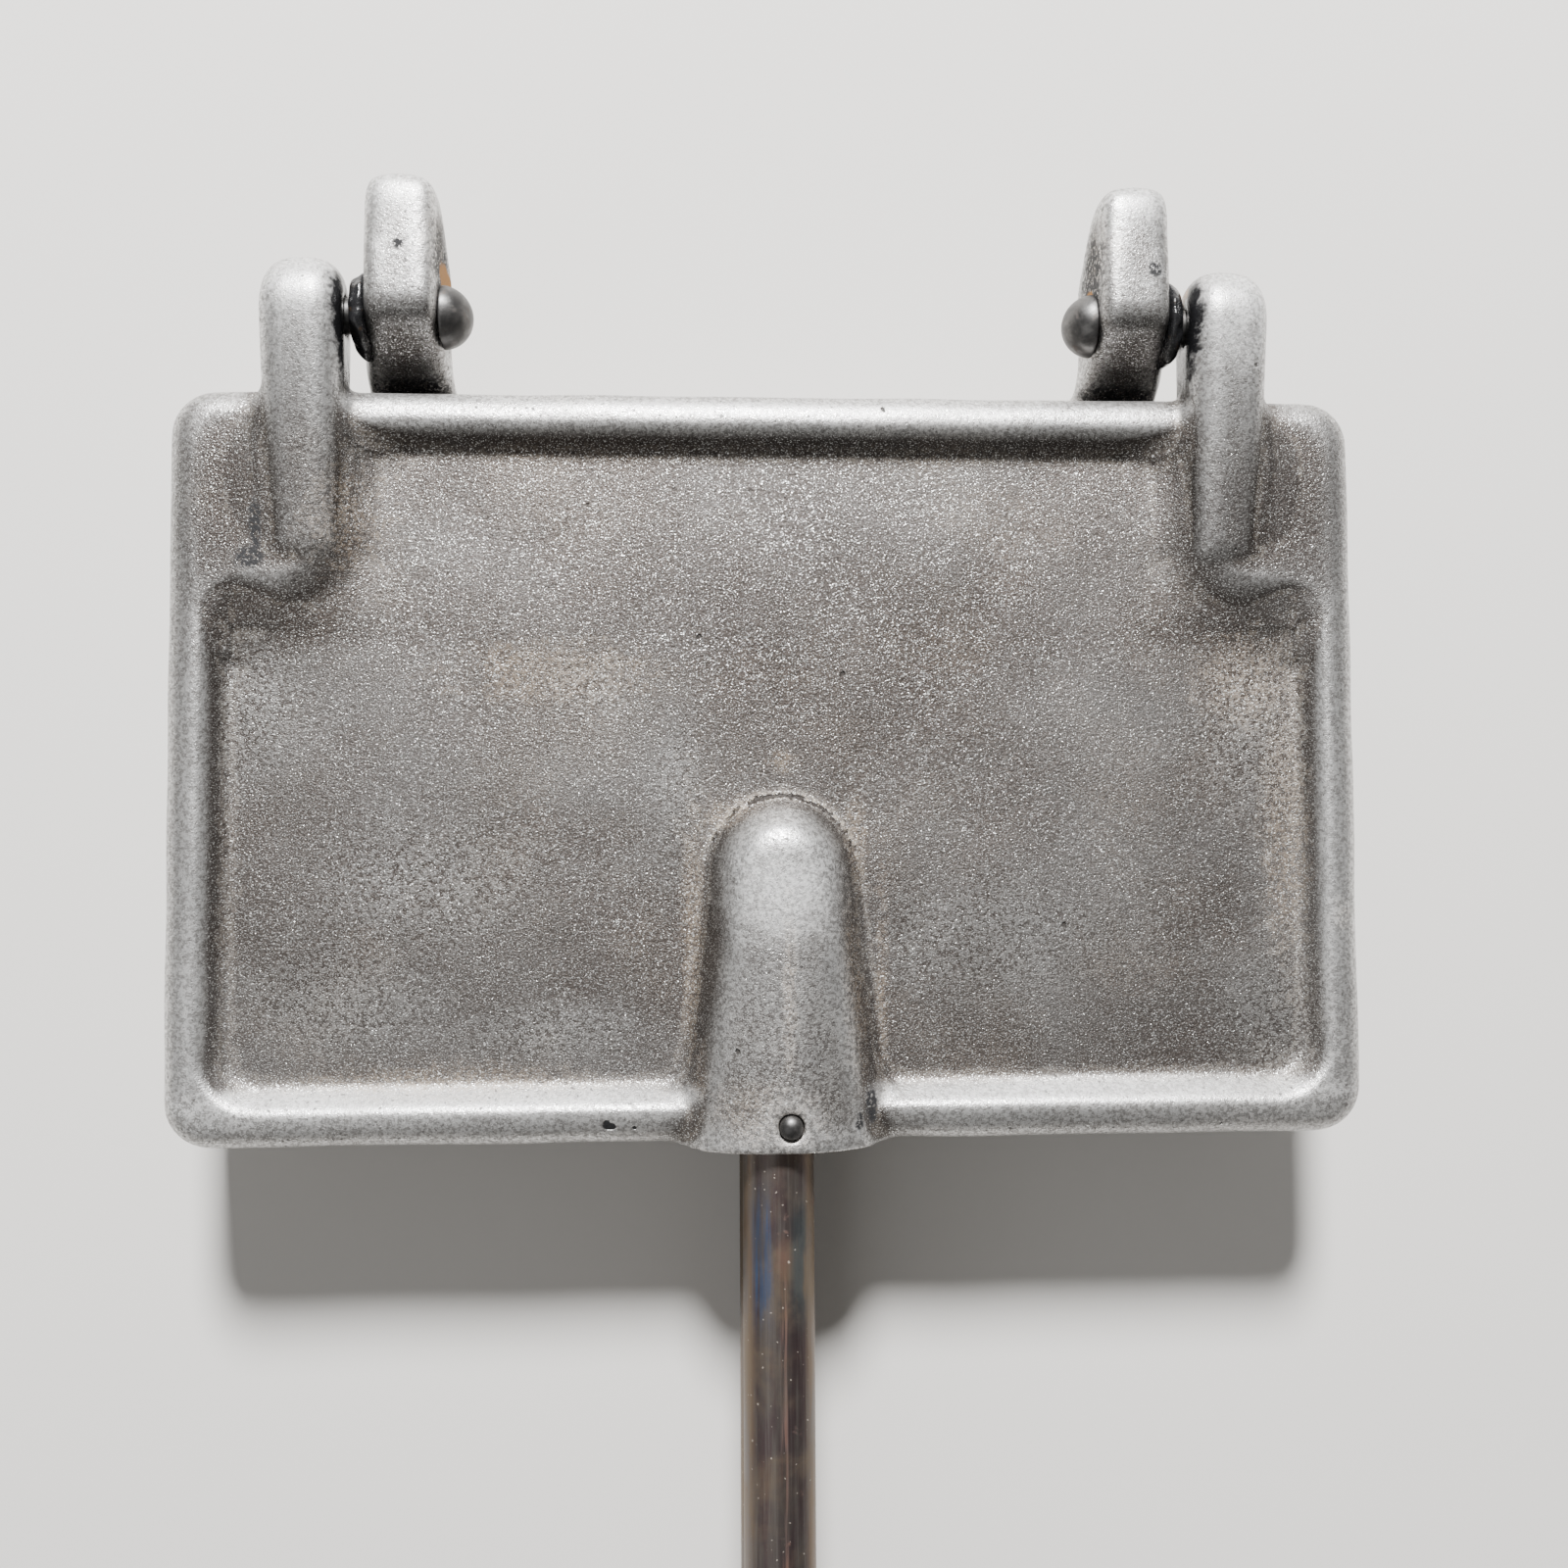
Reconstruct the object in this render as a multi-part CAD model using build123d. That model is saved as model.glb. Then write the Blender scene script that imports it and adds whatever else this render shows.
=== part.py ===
from build123d import *
import os
from math import asin, atan2, cos, hypot, pi, radians, sin, tan

# A hinged iron for thin waffle biscuits: two cast aluminium plates, each with its own long handle.
# Millimetres. X runs along the hinge, the hinge is at the back (+Y), the handles point forward (-Y).
# The plates are drawn about the plane where they meet (z = 0) and moved to the resting place last.

# Plate castings
plate_width = 215.0
plate_depth = 135.0
plate_thickness = 14.5       # from the meeting plane to the top of the rim
closing_gap = 0.2            # between the two cooking faces when shut
shoulder_radius = 6.0        # round outer edge of the rim
corner_extra = 2.5           # corner in plan, beyond the shoulder radius
crest_land = 1.2             # flat strip on top of the rim
recess_depth = 4.5           # sunk field inside the rim
recess_slope = 38.0          # degrees that the inner side of the rim leans from upright
recess_corner = 6.0
recess_back_corner = 3.0
notch_front = 25.2           # front edge of the raised corner that carries a hinge arm
notch_round = 17.5           # its round corner, at the foot of the apron
notch_side_round = 4.0
apron_slope = 60.0           # degrees that the apron round this corner leans from upright
apron_reach = 4.4            # foot of the apron beside the arm
apron_height = 3.9
apron_overlap = 0.3
crest_round = 1.8
crest_tolerance = 0.01       # for telling the edges on top of the rim

# Cooking faces
border_width = 6.0           # flat land round and between the two panels
panel_corner = 5.0
panel_depth = 1.0
pit_pitch = 12.0             # diamond lattice
rib_width = 2.6
pit_depth = 1.5
pit_slope = 24.0
ring_radius = 25.0           # round field in the middle of each panel
ring_width = 2.2
petal_count = 8
petal_length = 15.0
petal_width = 6.2
petal_start = 6.0
flower_eye_radius = 3.6

# Hinge
hinge_offset = 12.8          # pin axis behind the back of the plates
hinge_height = 12.0          # pin axis above the meeting plane
rivet_diameter = 6.35
rivet_head_diameter = 11.2
rivet_head_height = 5.6
rivet_end_diameter = 9.2
rivet_end_height = 0.9
turning_gap = 0.05           # round the rivet, in the ears and in the arms
rivet_end_play = 0.1
arm_side_inset = 17.6        # outer side of an arm from the side of the plate
arm_width = 14.0             # at the pin's height
arm_lean = 7.0               # degrees that its inner side leans away from the ear, downwards
arm_reach = 34.0             # along the plate, from its back
arm_end_rise = 1.5           # above the rim at the front end of the arm
arm_hub_radius = 10.0
arm_end_radius = 7.8
arm_root_radius = 5.6
arm_edge_round = 5.2
hinge_side_gap = 3.0         # between an arm and the ear beside it, at the pin's height
ear_width = 13.9             # at the pin's height
ear_lean = 11.0              # degrees that its outer side leans towards the arm, downwards
ear_flare_end = 1.0          # above the meeting plane, where the ridge below it begins
ridge_lean = 3.0             # degrees that the ridge's outer side leans in, downwards
ear_front_gap = 1.9          # between the upper plate's back and the ear
ear_crest_rise = 9.5         # above the pin axis
ear_crest_radius = 5.0
ear_crest_back = 1.4         # centre of the crest's round, behind the pin axis
ear_tip_reach = 24.2         # behind the pin axis: the nose that stops the lid
ear_tip_radius = 5.5
ear_belly_radius = 5.0
ear_belly_back = 8.7         # behind the pin axis
ear_belly_drop = 12.0        # under side of the ear, below the pin axis
ear_neck_depth = 6.2         # behind the lower plate's back
ear_neck_round = 5.0
ear_root_height = 9.0        # centre of the root's round, below the meeting plane
ear_edge_round = 2.5
ear_tip_corner = 4.5         # in plan
ear_end_radius = 5.0         # rounds of its ridge under the lower plate
ditch_depth = 1.0
ditch_round = 1.2
foot_length = 14.0
foot_front = 18.0            # front end of the foot from the front of its arm
root_depth = 4.0             # round of the ridge where it starts inside the plate

# Handles
boss_shift = 1.5             # middle of the boss, beside the middle of the plate
handle_shift = 0.5           # handle axis, the same way
rod_diameter = 12.7
socket_floor = 5.65          # metal between the meeting plane and the rod
socket_wall = 3.0            # over the rod
socket_depth = 44.0
fit_gap = 0.05
boss_reach = 61.5            # nose of the boss from the front of the plate
boss_overhang = 0.4          # past the front of the plate
boss_nose_radius = 13.2
boss_spread = 0.113          # widening towards the front, for each millimetre
boss_draft = 30.0            # degrees that its sides lean
boss_crown_radius = 26.0
boss_fall = 1.5              # degrees that its top falls towards the nose
boss_edge_round = 6.0
boss_skirt = 3.0             # below the socket floor's height where it passes the front
handle_pin_diameter = 4.1
handle_pin_inset = 4.4       # from the front of the plate
handle_pin_shift = 1.9       # beside the handle axis
handle_pin_dome = 1.1
handle_reach = 360.0         # front of the plate to the end of the grip
grip_length = 115.0
grip_gap = 2.0               # between the two grips when shut
grip_end_wood = 15.0         # solid wood behind the rod's end
grip_waist = 1.7             # how much thinner the grip is at its front
grip_tail = 2.4              # how much thinner the grip is at its end
grip_swell = 0.55            # widest place, as a part of the turned length
grip_end_round = 3.5
rod_end_gap = 1.0
rod_chamfer = 0.8
ferrule_length = 16.0
ferrule_wall = 0.9
ferrule_step = 0.6           # ferrule inside the front of the grip
grip_pin_diameter = 3.2

# Places worked out from the sizes
plate_back = plate_depth / 2
plate_front = -plate_depth / 2
corner_radius = shoulder_radius + corner_extra
recess_floor = plate_thickness - recess_depth
slope_run = recess_depth * tan(radians(recess_slope))
rim_width = shoulder_radius + crest_land + slope_run
arm_outer = plate_width / 2 - arm_side_inset
arm_inner = arm_outer - arm_width
arm_front = plate_back - arm_reach
ear_outer = arm_inner - hinge_side_gap
ear_inner = ear_outer - ear_width
ear_base_outer = ear_outer + (hinge_height - ear_flare_end) * tan(radians(ear_lean))
pin_y = plate_back + hinge_offset
rod_radius = rod_diameter / 2
rod_height = socket_floor + rod_radius
boss_top = rod_height + rod_radius + socket_wall
boss_front = plate_front - boss_overhang
handle_pin_x = handle_shift + handle_pin_shift
handle_pin_y = plate_front + handle_pin_inset
boss_top_at_pin = boss_top - (handle_pin_y - boss_front) * tan(radians(boss_fall))
grip_radius = rod_height - grip_gap / 2
grip_back = plate_front - handle_reach + grip_length
grip_bore_depth = grip_length - grip_end_wood
foot_plane = rod_height + grip_radius
ear_back = pin_y + ear_tip_reach
handle_end = plate_front - handle_reach
least_turn = 1e-4             # radians, below which two straight runs are one
side_lean = 25.0             # degrees that a lug's own side leans from upright at the most
to_rest = Pos(0, -(ear_back + handle_end) / 2, foot_plane)


def rolled_outline(rolls):
    """A closed outline that runs counter-clockwise round discs, given as (x, y, radius).
    Straight runs join the discs, tangent to both. A negative radius makes a hollow curve."""
    runs = []
    for here, there in zip(rolls, rolls[1:] + rolls[:1]):
        across = there[0] - here[0]
        up = there[1] - here[1]
        runs.append(atan2(up, across) + asin((here[2] - there[2]) / hypot(across, up)))

    def on_disc(roll, heading):
        return (roll[0] + roll[2] * sin(heading), roll[1] - roll[2] * cos(heading))

    edges = []
    for step, roll in enumerate(rolls):
        arriving = runs[step - 1]
        leaving = runs[step]
        turn = (leaving - arriving) % (2 * pi)
        if roll[2] < 0:
            turn -= 2 * pi
        following = rolls[(step + 1) % len(rolls)]
        if least_turn < abs(turn) < 2 * pi - least_turn:
            edges.append(ThreePointArc(on_disc(roll, arriving), on_disc(roll, arriving + turn / 2),
                                       on_disc(roll, leaving)))
        edges.append(Line(on_disc(roll, leaving), on_disc(following, leaving)))
    return make_face(edges)


def upright_lug(outline, section, edge_round):
    """A lug with this outline in Y and Z and this section in X and Z, with its side edges rounded."""
    lug = extrude(Plane.YZ * outline, plate_width) & extrude(Plane.XZ * section, 2 * plate_depth,
                                                             both=True)
    least = cos(radians(side_lean))
    sides = lug.faces().filter_by(lambda face: abs(face.normal_at().X) > least)
    return fillet(sides.edges(), edge_round)


def corner_apron(foot_inner):
    """Raised corner that carries a hinge arm: it slopes gently down to the field round the arm."""
    side = plate_width / 2 - shoulder_radius
    back = plate_back - shoulder_radius
    corners = [(foot_inner, back), (foot_inner, notch_front), (side, notch_front), (side, back)]
    foot = make_face(FilletPolyline(*corners, radius=[0, notch_round, 0, 0], close=True))
    right = extrude(Pos(0, 0, recess_floor) * foot, apron_height, taper=apron_slope)
    return [right, mirror(right, Plane.YZ)]


def recess_outline(foot_inner):
    """Foot of the sunk field: a rectangle whose back corners step in round the hinge arms."""
    side = plate_width / 2 - rim_width
    front = plate_front + rim_width
    back = plate_back - rim_width
    inset = recess_depth * tan(radians(apron_slope)) - slope_run - apron_overlap
    inner = foot_inner + inset
    step = notch_front + inset
    corners = [(-side, front), (side, front), (side, step), (inner, step),
               (inner, back), (-inner, back), (-inner, step), (-side, step)]
    rounds = [recess_corner, recess_corner, notch_side_round, notch_round - inset,
              recess_back_corner, recess_back_corner, notch_round - inset, notch_side_round]
    return make_face(FilletPolyline(*corners, radius=rounds, close=True))


def rimmed_slab(foot_inner):
    """Plate with rounded shoulders and a sunk field, its flat side on the meeting plane."""
    face = closing_gap / 2
    outline = Pos(0, 0, face) * RectangleRounded(plate_width, plate_depth, corner_radius)
    slab = extrude(outline, plate_thickness - face)
    slab = fillet(slab.faces().sort_by(Axis.Z)[-1].edges(), shoulder_radius)
    field = extrude(Pos(0, 0, recess_floor) * recess_outline(foot_inner), recess_depth,
                    taper=-recess_slope)
    slab -= field
    top = slab.edges().filter_by_position(Axis.Z, plate_thickness - crest_tolerance,
                                          plate_thickness + crest_tolerance)
    inner_reach = plate_width / 2 - shoulder_radius - crest_land / 2
    crest = [edge for edge in top if abs(edge.center().X) < inner_reach
             and plate_front + shoulder_radius + crest_land / 2 < edge.center().Y
             < plate_back - shoulder_radius - crest_land / 2]
    slab = fillet(crest, min(crest_round, 0.9 * crest_land / tan(radians(45 - recess_slope / 2))))
    return slab + corner_apron(foot_inner)


def handle_boss():
    """Drafted boss over the socket, with a crowned top that falls towards its round nose."""
    nose_y = plate_front + boss_reach - boss_nose_radius
    tail_y = boss_front - 2 * boss_nose_radius
    spread = boss_spread * (nose_y - tail_y)
    outline = rolled_outline([(boss_shift - spread, tail_y, boss_nose_radius),
                              (boss_shift + spread, tail_y, boss_nose_radius),
                              (boss_shift, nose_y, boss_nose_radius)])
    upper = extrude(Pos(0, 0, recess_floor) * outline, boss_top - recess_floor + boss_skirt,
                    taper=boss_draft)
    roof_middle = Pos(boss_shift, boss_front, boss_top - boss_crown_radius)
    roof = roof_middle * Rot(90 - boss_fall, 0, 0) * Cylinder(boss_crown_radius, 4 * boss_reach)
    upper &= roof
    ridge = upper.faces().sort_by(Axis.Z)[-1].edges()
    upper = fillet(ridge, boss_edge_round)
    skirt_height = recess_floor - socket_floor + boss_skirt
    skirt = extrude(Pos(0, 0, recess_floor - skirt_height) * outline, skirt_height)
    boss = upper + skirt
    return boss & front_half_space(boss_front, recess_floor)


def front_half_space(limit_y, middle_z):
    """Everything behind the plane Y = limit_y, as a large block."""
    block = 4 * plate_width
    return Pos(0, limit_y + block / 2, middle_z) * Box(block, block, block)


def petal():
    """Pointed petal that lies along X, from its inner to its outer tip."""
    outer_tip = petal_start + petal_length
    middle = petal_start + petal_length / 2
    return make_face([ThreePointArc((petal_start, 0), (middle, -petal_width / 2), (outer_tip, 0)),
                      ThreePointArc((outer_tip, 0), (middle, petal_width / 2), (petal_start, 0))])


def panel_cuts():
    """What is cut from the meeting plane for one panel, drawn about the panel's middle."""
    width = (plate_width - 3 * border_width) / 2
    depth = plate_depth - 2 * border_width
    cuts = [extrude(RectangleRounded(width, depth, panel_corner), panel_depth)]
    floor = Pos(0, 0, panel_depth)
    pit = extrude(Rot(0, 0, 45) * Rectangle(pit_pitch - rib_width, pit_pitch - rib_width),
                  pit_depth, taper=pit_slope)
    half_diagonal = (pit_pitch - rib_width) / 2 ** 0.5
    step = pit_pitch / 2 ** 0.5
    columns = int(width / 2 / step)
    rows = int(depth / 2 / step)
    for column in range(-columns, columns + 1):
        for row in range(-rows, rows + 1):
            x = column * step
            y = row * step
            inside = (abs(x) + half_diagonal + rib_width / 2 < width / 2
                      and abs(y) + half_diagonal + rib_width / 2 < depth / 2)
            clear_of_ring = hypot(x, y) - half_diagonal > ring_radius + ring_width / 2
            if (column + row) % 2 == 0 and inside and clear_of_ring:
                cuts.append(Pos(x, y, 0) * floor * pit)
    ring = Circle(ring_radius + ring_width / 2) - Circle(ring_radius - ring_width / 2)
    cuts.append(floor * extrude(ring, pit_depth))
    cuts.append(floor * extrude(Circle(flower_eye_radius), pit_depth))
    for turn in range(petal_count):
        cuts.append(floor * Rot(0, 0, 360 / petal_count * turn) * extrude(petal(), pit_depth))
    return cuts


def cooking_cuts():
    """Both panels, sunk in the meeting face."""
    shift = (plate_width - border_width) / 4
    panels = [Pos(side * shift, 0, closing_gap / 2) for side in (-1, 1)]
    return [panel * cut for panel in panels for cut in panel_cuts()]


def finished_plate(lugs, foot_inner):
    """A plate with its boss, socket and lugs, drawn cooking face down on the meeting plane."""
    plate = rimmed_slab(foot_inner) + handle_boss() + lugs
    socket_end = boss_front + socket_depth
    socket = Pos(handle_shift, socket_end - socket_depth, rod_height) * Rot(90, 0, 0)
    plate -= socket * Cylinder(rod_radius + fit_gap, 2 * socket_depth)
    plate -= (Pos(handle_pin_x, handle_pin_y, rod_height + boss_top)
              * Cylinder(handle_pin_diameter / 2 + fit_gap, 2 * boss_top))
    return plate - cooking_cuts()


def rivet_bores(radius):
    """Both hinge pin holes in one long cylinder."""
    return Pos(0, pin_y, hinge_height) * Rot(0, 90, 0) * Cylinder(radius, 2 * plate_width)


def upper_plate():
    bottom = hinge_height - arm_hub_radius
    end_top = plate_thickness + arm_end_rise
    outline = rolled_outline([
        (arm_front + arm_root_radius, bottom + arm_root_radius, arm_root_radius),
        (pin_y, hinge_height, arm_hub_radius),
        (arm_front + arm_end_radius, end_top - arm_end_radius, arm_end_radius)])
    lean = (2 * hinge_height) * tan(radians(arm_lean))
    section = Polyline((arm_inner - lean, 3 * hinge_height), (arm_inner + lean, -hinge_height),
                       (arm_outer, -hinge_height), (arm_outer, 3 * hinge_height), close=True)
    right = upright_lug(outline, make_face(section), arm_edge_round)
    plate = finished_plate([right, mirror(right, Plane.YZ)], arm_inner - apron_reach)
    return plate - rivet_bores(rivet_diameter / 2 + turning_gap)


def ear_outline():
    """Ear and the ridge under the lower plate that carries it, with a flat foot on the ridge."""
    low_end = ear_end_radius - plate_thickness - arm_end_rise
    foot_low = ear_end_radius - foot_plane
    foot_y = arm_front + foot_front
    belly = hinge_height - ear_belly_drop
    neck_y = plate_back + ear_neck_depth
    crest_top = hinge_height + ear_crest_rise
    return rolled_outline([
        (arm_front + ear_end_radius, low_end, ear_end_radius),
        (foot_y, foot_low, ear_end_radius),
        (foot_y + foot_length, foot_low, ear_end_radius),
        (neck_y - ear_end_radius, -ear_root_height, ear_end_radius),
        (neck_y + ear_neck_round, belly - ear_neck_round, -ear_neck_round),
        (pin_y + ear_belly_back, belly + ear_belly_radius, ear_belly_radius),
        (ear_back - ear_tip_radius, crest_top - ear_tip_radius, ear_tip_radius),
        (pin_y + ear_crest_back, crest_top - ear_crest_radius, ear_crest_radius),
        (plate_back + ear_front_gap - ditch_round, ditch_round - ditch_depth, -ditch_round),
        (plate_back - ear_neck_depth, -ditch_depth - root_depth, root_depth)])


def ear_section():
    """Ear seen from the front: its outer side leans out towards the plates."""
    top = 3 * hinge_height
    low = -2 * foot_plane
    slope = tan(radians(ear_lean))
    return make_face(Polyline((ear_inner, top), (ear_inner, low),
                              (ear_outer + (hinge_height - low) * slope, low),
                              (ear_outer - (top - hinge_height) * slope, top), close=True))


def ridge_side():
    """Everything inside the outer side of the ridge, which leans in again below the ear."""
    top = 3 * hinge_height
    low = -2 * foot_plane
    side = ear_base_outer - (ear_flare_end - low) * tan(radians(ridge_lean))
    inside = Polyline((0, top), (0, low), (side, low), (ear_base_outer, ear_flare_end),
                      (plate_width, ear_flare_end), (plate_width, top), close=True)
    return extrude(Plane.XZ * make_face(inside), 2 * plate_depth, both=True)


def ear_plan():
    """Ear seen from above, with the corners of its tip rounded, as a tall block."""
    tip_outer = ear_outer - (ear_crest_rise - ear_tip_radius) * tan(radians(ear_lean))
    corners = [(ear_inner, 0), (plate_width / 2, 0), (plate_width / 2, plate_back),
               (ear_base_outer, plate_back), (tip_outer, ear_back), (ear_inner, ear_back)]
    tip_rounds = [0, 0, 0, 0, ear_tip_corner, ear_tip_corner]
    plan = make_face(FilletPolyline(*corners, radius=tip_rounds, close=True))
    return extrude(plan, 4 * foot_plane, both=True)


def lower_plate():
    """Drawn upside down with the same plate as the upper one, and then turned over."""
    right = upright_lug(ear_outline(), ear_section(), ear_edge_round)
    right = right & ear_plan() & ridge_side()
    lugs = [mirror(lug, Plane.XY) for lug in (right, mirror(right, Plane.YZ))]
    plate = mirror(finished_plate(lugs, ear_inner - apron_reach), Plane.XY)
    return plate - rivet_bores(rivet_diameter / 2 + turning_gap)


def dome(radius, height):
    """Cap of a ball that stands on Z = 0."""
    ball = (radius ** 2 + height ** 2) / (2 * height)
    cap = Pos(0, 0, height - ball) * Sphere(ball)
    return cap & Pos(0, 0, height / 2) * Cylinder(2 * radius, height)


def hinge_rivet(side):
    """Round head inside the ear, shank through ear and arm, hammered end outside the arm."""
    outer_face = arm_outer + rivet_end_play
    shank = Pos(0, 0, (ear_inner + outer_face) / 2) * Cylinder(rivet_diameter / 2,
                                                               outer_face - ear_inner)
    head = Pos(0, 0, ear_inner) * Rot(180, 0, 0) * dome(rivet_head_diameter / 2, rivet_head_height)
    end = Pos(0, 0, outer_face) * dome(rivet_end_diameter / 2, rivet_end_height)
    return Pos(0, pin_y, hinge_height) * Rot(0, 90 * side, 0) * (shank + head + end)


def handle_rod():
    back = boss_front + socket_depth - rod_end_gap
    front = handle_end + grip_length - grip_bore_depth + rod_end_gap
    rod = (Pos(handle_shift, (back + front) / 2, rod_height) * Rot(90, 0, 0)
           * Cylinder(rod_radius, back - front))
    rod = chamfer(rod.faces().filter_by(Axis.Y).edges(), rod_chamfer)
    rod -= (Pos(handle_pin_x, handle_pin_y, rod_height)
            * Cylinder(handle_pin_diameter / 2 + fit_gap, 2 * rod_diameter))
    return rod - grip_pin_bore()


def handle_pin():
    side = handle_pin_shift + handle_pin_diameter / 2
    bottom = rod_height - (rod_radius ** 2 - side ** 2) ** 0.5
    shank = Pos(0, 0, (bottom + boss_top_at_pin) / 2) * Cylinder(handle_pin_diameter / 2,
                                                                 boss_top_at_pin - bottom)
    pin = shank + Pos(0, 0, boss_top_at_pin) * dome(handle_pin_diameter / 2, handle_pin_dome)
    return Pos(handle_pin_x, handle_pin_y, 0) * pin


def grip_pin_bore():
    middle = Pos(handle_shift, grip_back - ferrule_length / 2, rod_height)
    return middle * Rot(0, 90, 0) * Cylinder(grip_pin_diameter / 2 + fit_gap, 4 * grip_radius)


def turned(profile):
    """Turn an outline, given in (radius, distance from the grip's back), round the handle axis."""
    about_axis = revolve(Plane.XZ * profile, Axis.Z)
    return Pos(handle_shift, grip_back, rod_height) * Rot(90, 0, 0) * about_axis


ferrule_radius = grip_radius - grip_waist - ferrule_step
spigot_radius = ferrule_radius - ferrule_wall - fit_gap


def grip():
    front_radius = grip_radius - grip_waist
    tail_radius = grip_radius - grip_tail
    swell_at = ferrule_length + grip_swell * (grip_length - ferrule_length)
    body_end = grip_length - grip_end_round
    spigot_start = ferrule_wall + fit_gap
    bore = rod_radius + fit_gap
    swell = (grip_radius, swell_at)
    neck = Polyline((0, grip_length), (0, grip_bore_depth), (bore, grip_bore_depth),
                    (bore, spigot_start), (spigot_radius, spigot_start),
                    (spigot_radius, ferrule_length), (front_radius, ferrule_length))
    profile = make_face([*neck.edges(),
                         TangentArc(swell, (front_radius, ferrule_length), tangent=(0, -1)),
                         TangentArc(swell, (tail_radius, body_end), tangent=(0, 1)),
                         TangentArc((0, grip_length), (tail_radius, body_end), tangent=(1, 0))])
    return turned(profile) - grip_pin_bore()


def ferrule():
    bore = rod_radius + fit_gap
    inside = ferrule_radius - ferrule_wall
    profile = make_face(Polyline(
        (bore, 0), (ferrule_radius, 0), (ferrule_radius, ferrule_length - fit_gap),
        (inside, ferrule_length - fit_gap), (inside, ferrule_wall), (bore, ferrule_wall),
        close=True))
    shell = turned(profile)
    shell = fillet(shell.edges().sort_by(Axis.Y)[-1:], ferrule_wall / 2)
    return shell - grip_pin_bore()


def grip_pin():
    middle = Pos(handle_shift, grip_back - ferrule_length / 2, rod_height)
    return middle * Rot(0, 90, 0) * Cylinder(grip_pin_diameter / 2, 2 * ferrule_radius)


def write(shape, name):
    """Move a piece to its resting place and write it under its own name."""
    solid = to_rest * shape
    solid.label = name
    export_step(solid, f"parts/{name}.step")


os.makedirs("parts", exist_ok=True)
write(upper_plate(), "upper_plate")
write(lower_plate(), "lower_plate")
write(hinge_rivet(-1), "hinge_rivet_left")
write(hinge_rivet(1), "hinge_rivet_right")
for piece, name in ((handle_rod(), "handle_rod"), (handle_pin(), "handle_pin"), (grip(), "grip"),
                    (ferrule(), "ferrule"), (grip_pin(), "grip_pin")):
    write(piece, f"upper_{name}")
    write(mirror(piece, Plane.XY), f"lower_{name}")
print("hinge axis at Y", round(pin_y + to_rest.position.Y, 3), "Z",
      round(hinge_height + to_rest.position.Z, 3))
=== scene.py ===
import math
import random

import bmesh
import bpy
import numpy as np
from mathutils import Euler, Matrix, Vector


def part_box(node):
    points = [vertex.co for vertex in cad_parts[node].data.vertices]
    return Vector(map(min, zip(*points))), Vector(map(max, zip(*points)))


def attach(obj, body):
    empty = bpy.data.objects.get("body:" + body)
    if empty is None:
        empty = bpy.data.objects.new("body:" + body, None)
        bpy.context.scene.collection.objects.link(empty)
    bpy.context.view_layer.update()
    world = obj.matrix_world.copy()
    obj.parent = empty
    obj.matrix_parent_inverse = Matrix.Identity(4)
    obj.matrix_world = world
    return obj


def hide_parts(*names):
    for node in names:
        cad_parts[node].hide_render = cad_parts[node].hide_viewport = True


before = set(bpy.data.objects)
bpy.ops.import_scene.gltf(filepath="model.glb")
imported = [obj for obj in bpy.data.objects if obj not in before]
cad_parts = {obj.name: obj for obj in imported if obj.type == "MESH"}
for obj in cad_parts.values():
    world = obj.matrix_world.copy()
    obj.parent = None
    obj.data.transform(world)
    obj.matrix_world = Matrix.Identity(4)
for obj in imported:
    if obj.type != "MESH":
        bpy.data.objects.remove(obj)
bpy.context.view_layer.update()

# A hinged waffle iron, dressed. Metres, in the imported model's own frame; the dictionaries are in millimetres.
mm = 0.001

# Camera and light
view = {
    "place": (-12.08, 147.35, 293.81),
    "turn": (2.339, -3.081, -0.316),     # degrees, nearly straight down
    "lens": 33.19,
    "sensor": 36,
    "near": 10,                          # nothing nearer than this is drawn
}

studio = {
    "key": {"place": (-40, 1350, 1050), "aim": (0, 160, 30), "size": 300, "power": 90},
    "fill": {"place": (-900, -500, 1300), "aim": (0, 100, 0), "size": 1400, "power": 4},
    "sky": 0.21,
    "skyColour": (1.0, 0.985, 0.96, 1),
}


def makeCamera():
    eye = bpy.data.cameras.new("camera")
    eye.sensor_width = view["sensor"]
    eye.lens = view["lens"]
    eye.clip_start = view["near"] * mm
    camera = bpy.data.objects.new("camera", eye)
    camera.location = Vector(view["place"]) * mm
    camera.rotation_euler = Euler([math.radians(angle) for angle in view["turn"]])
    bpy.context.scene.collection.objects.link(camera)
    bpy.context.scene.camera = camera


def makeLight(name, values):
    light = bpy.data.lights.new(name, "AREA")
    light.shape = "DISK"
    light.size = values["size"] * mm
    light.energy = values["power"]
    lamp = bpy.data.objects.new(name, light)
    lamp.location = Vector(values["place"]) * mm
    towards = Vector(values["aim"]) * mm - lamp.location
    lamp.rotation_euler = towards.to_track_quat("-Z", "Y").to_euler()
    bpy.context.scene.collection.objects.link(lamp)


def makeSky():
    world = bpy.data.worlds.new("studio")
    world.use_nodes = True
    backdrop = world.node_tree.nodes["Background"]
    backdrop.inputs["Color"].default_value = studio["skyColour"]
    backdrop.inputs["Strength"].default_value = studio["sky"]
    bpy.context.scene.world = world


makeCamera()
makeLight("key", studio["key"])
makeLight("fill", studio["fill"])
makeSky()
print("camera and lights are in place")


# Source is another node's socket, or a plain value
def feed(source, target):
    if isinstance(source, bpy.types.NodeSocket):
        target.id_data.links.new(source, target)
    elif target.type == "RGBA" and len(source) == 3:
        target.default_value = (*source, 1.0)
    else:
        target.default_value = source


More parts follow.
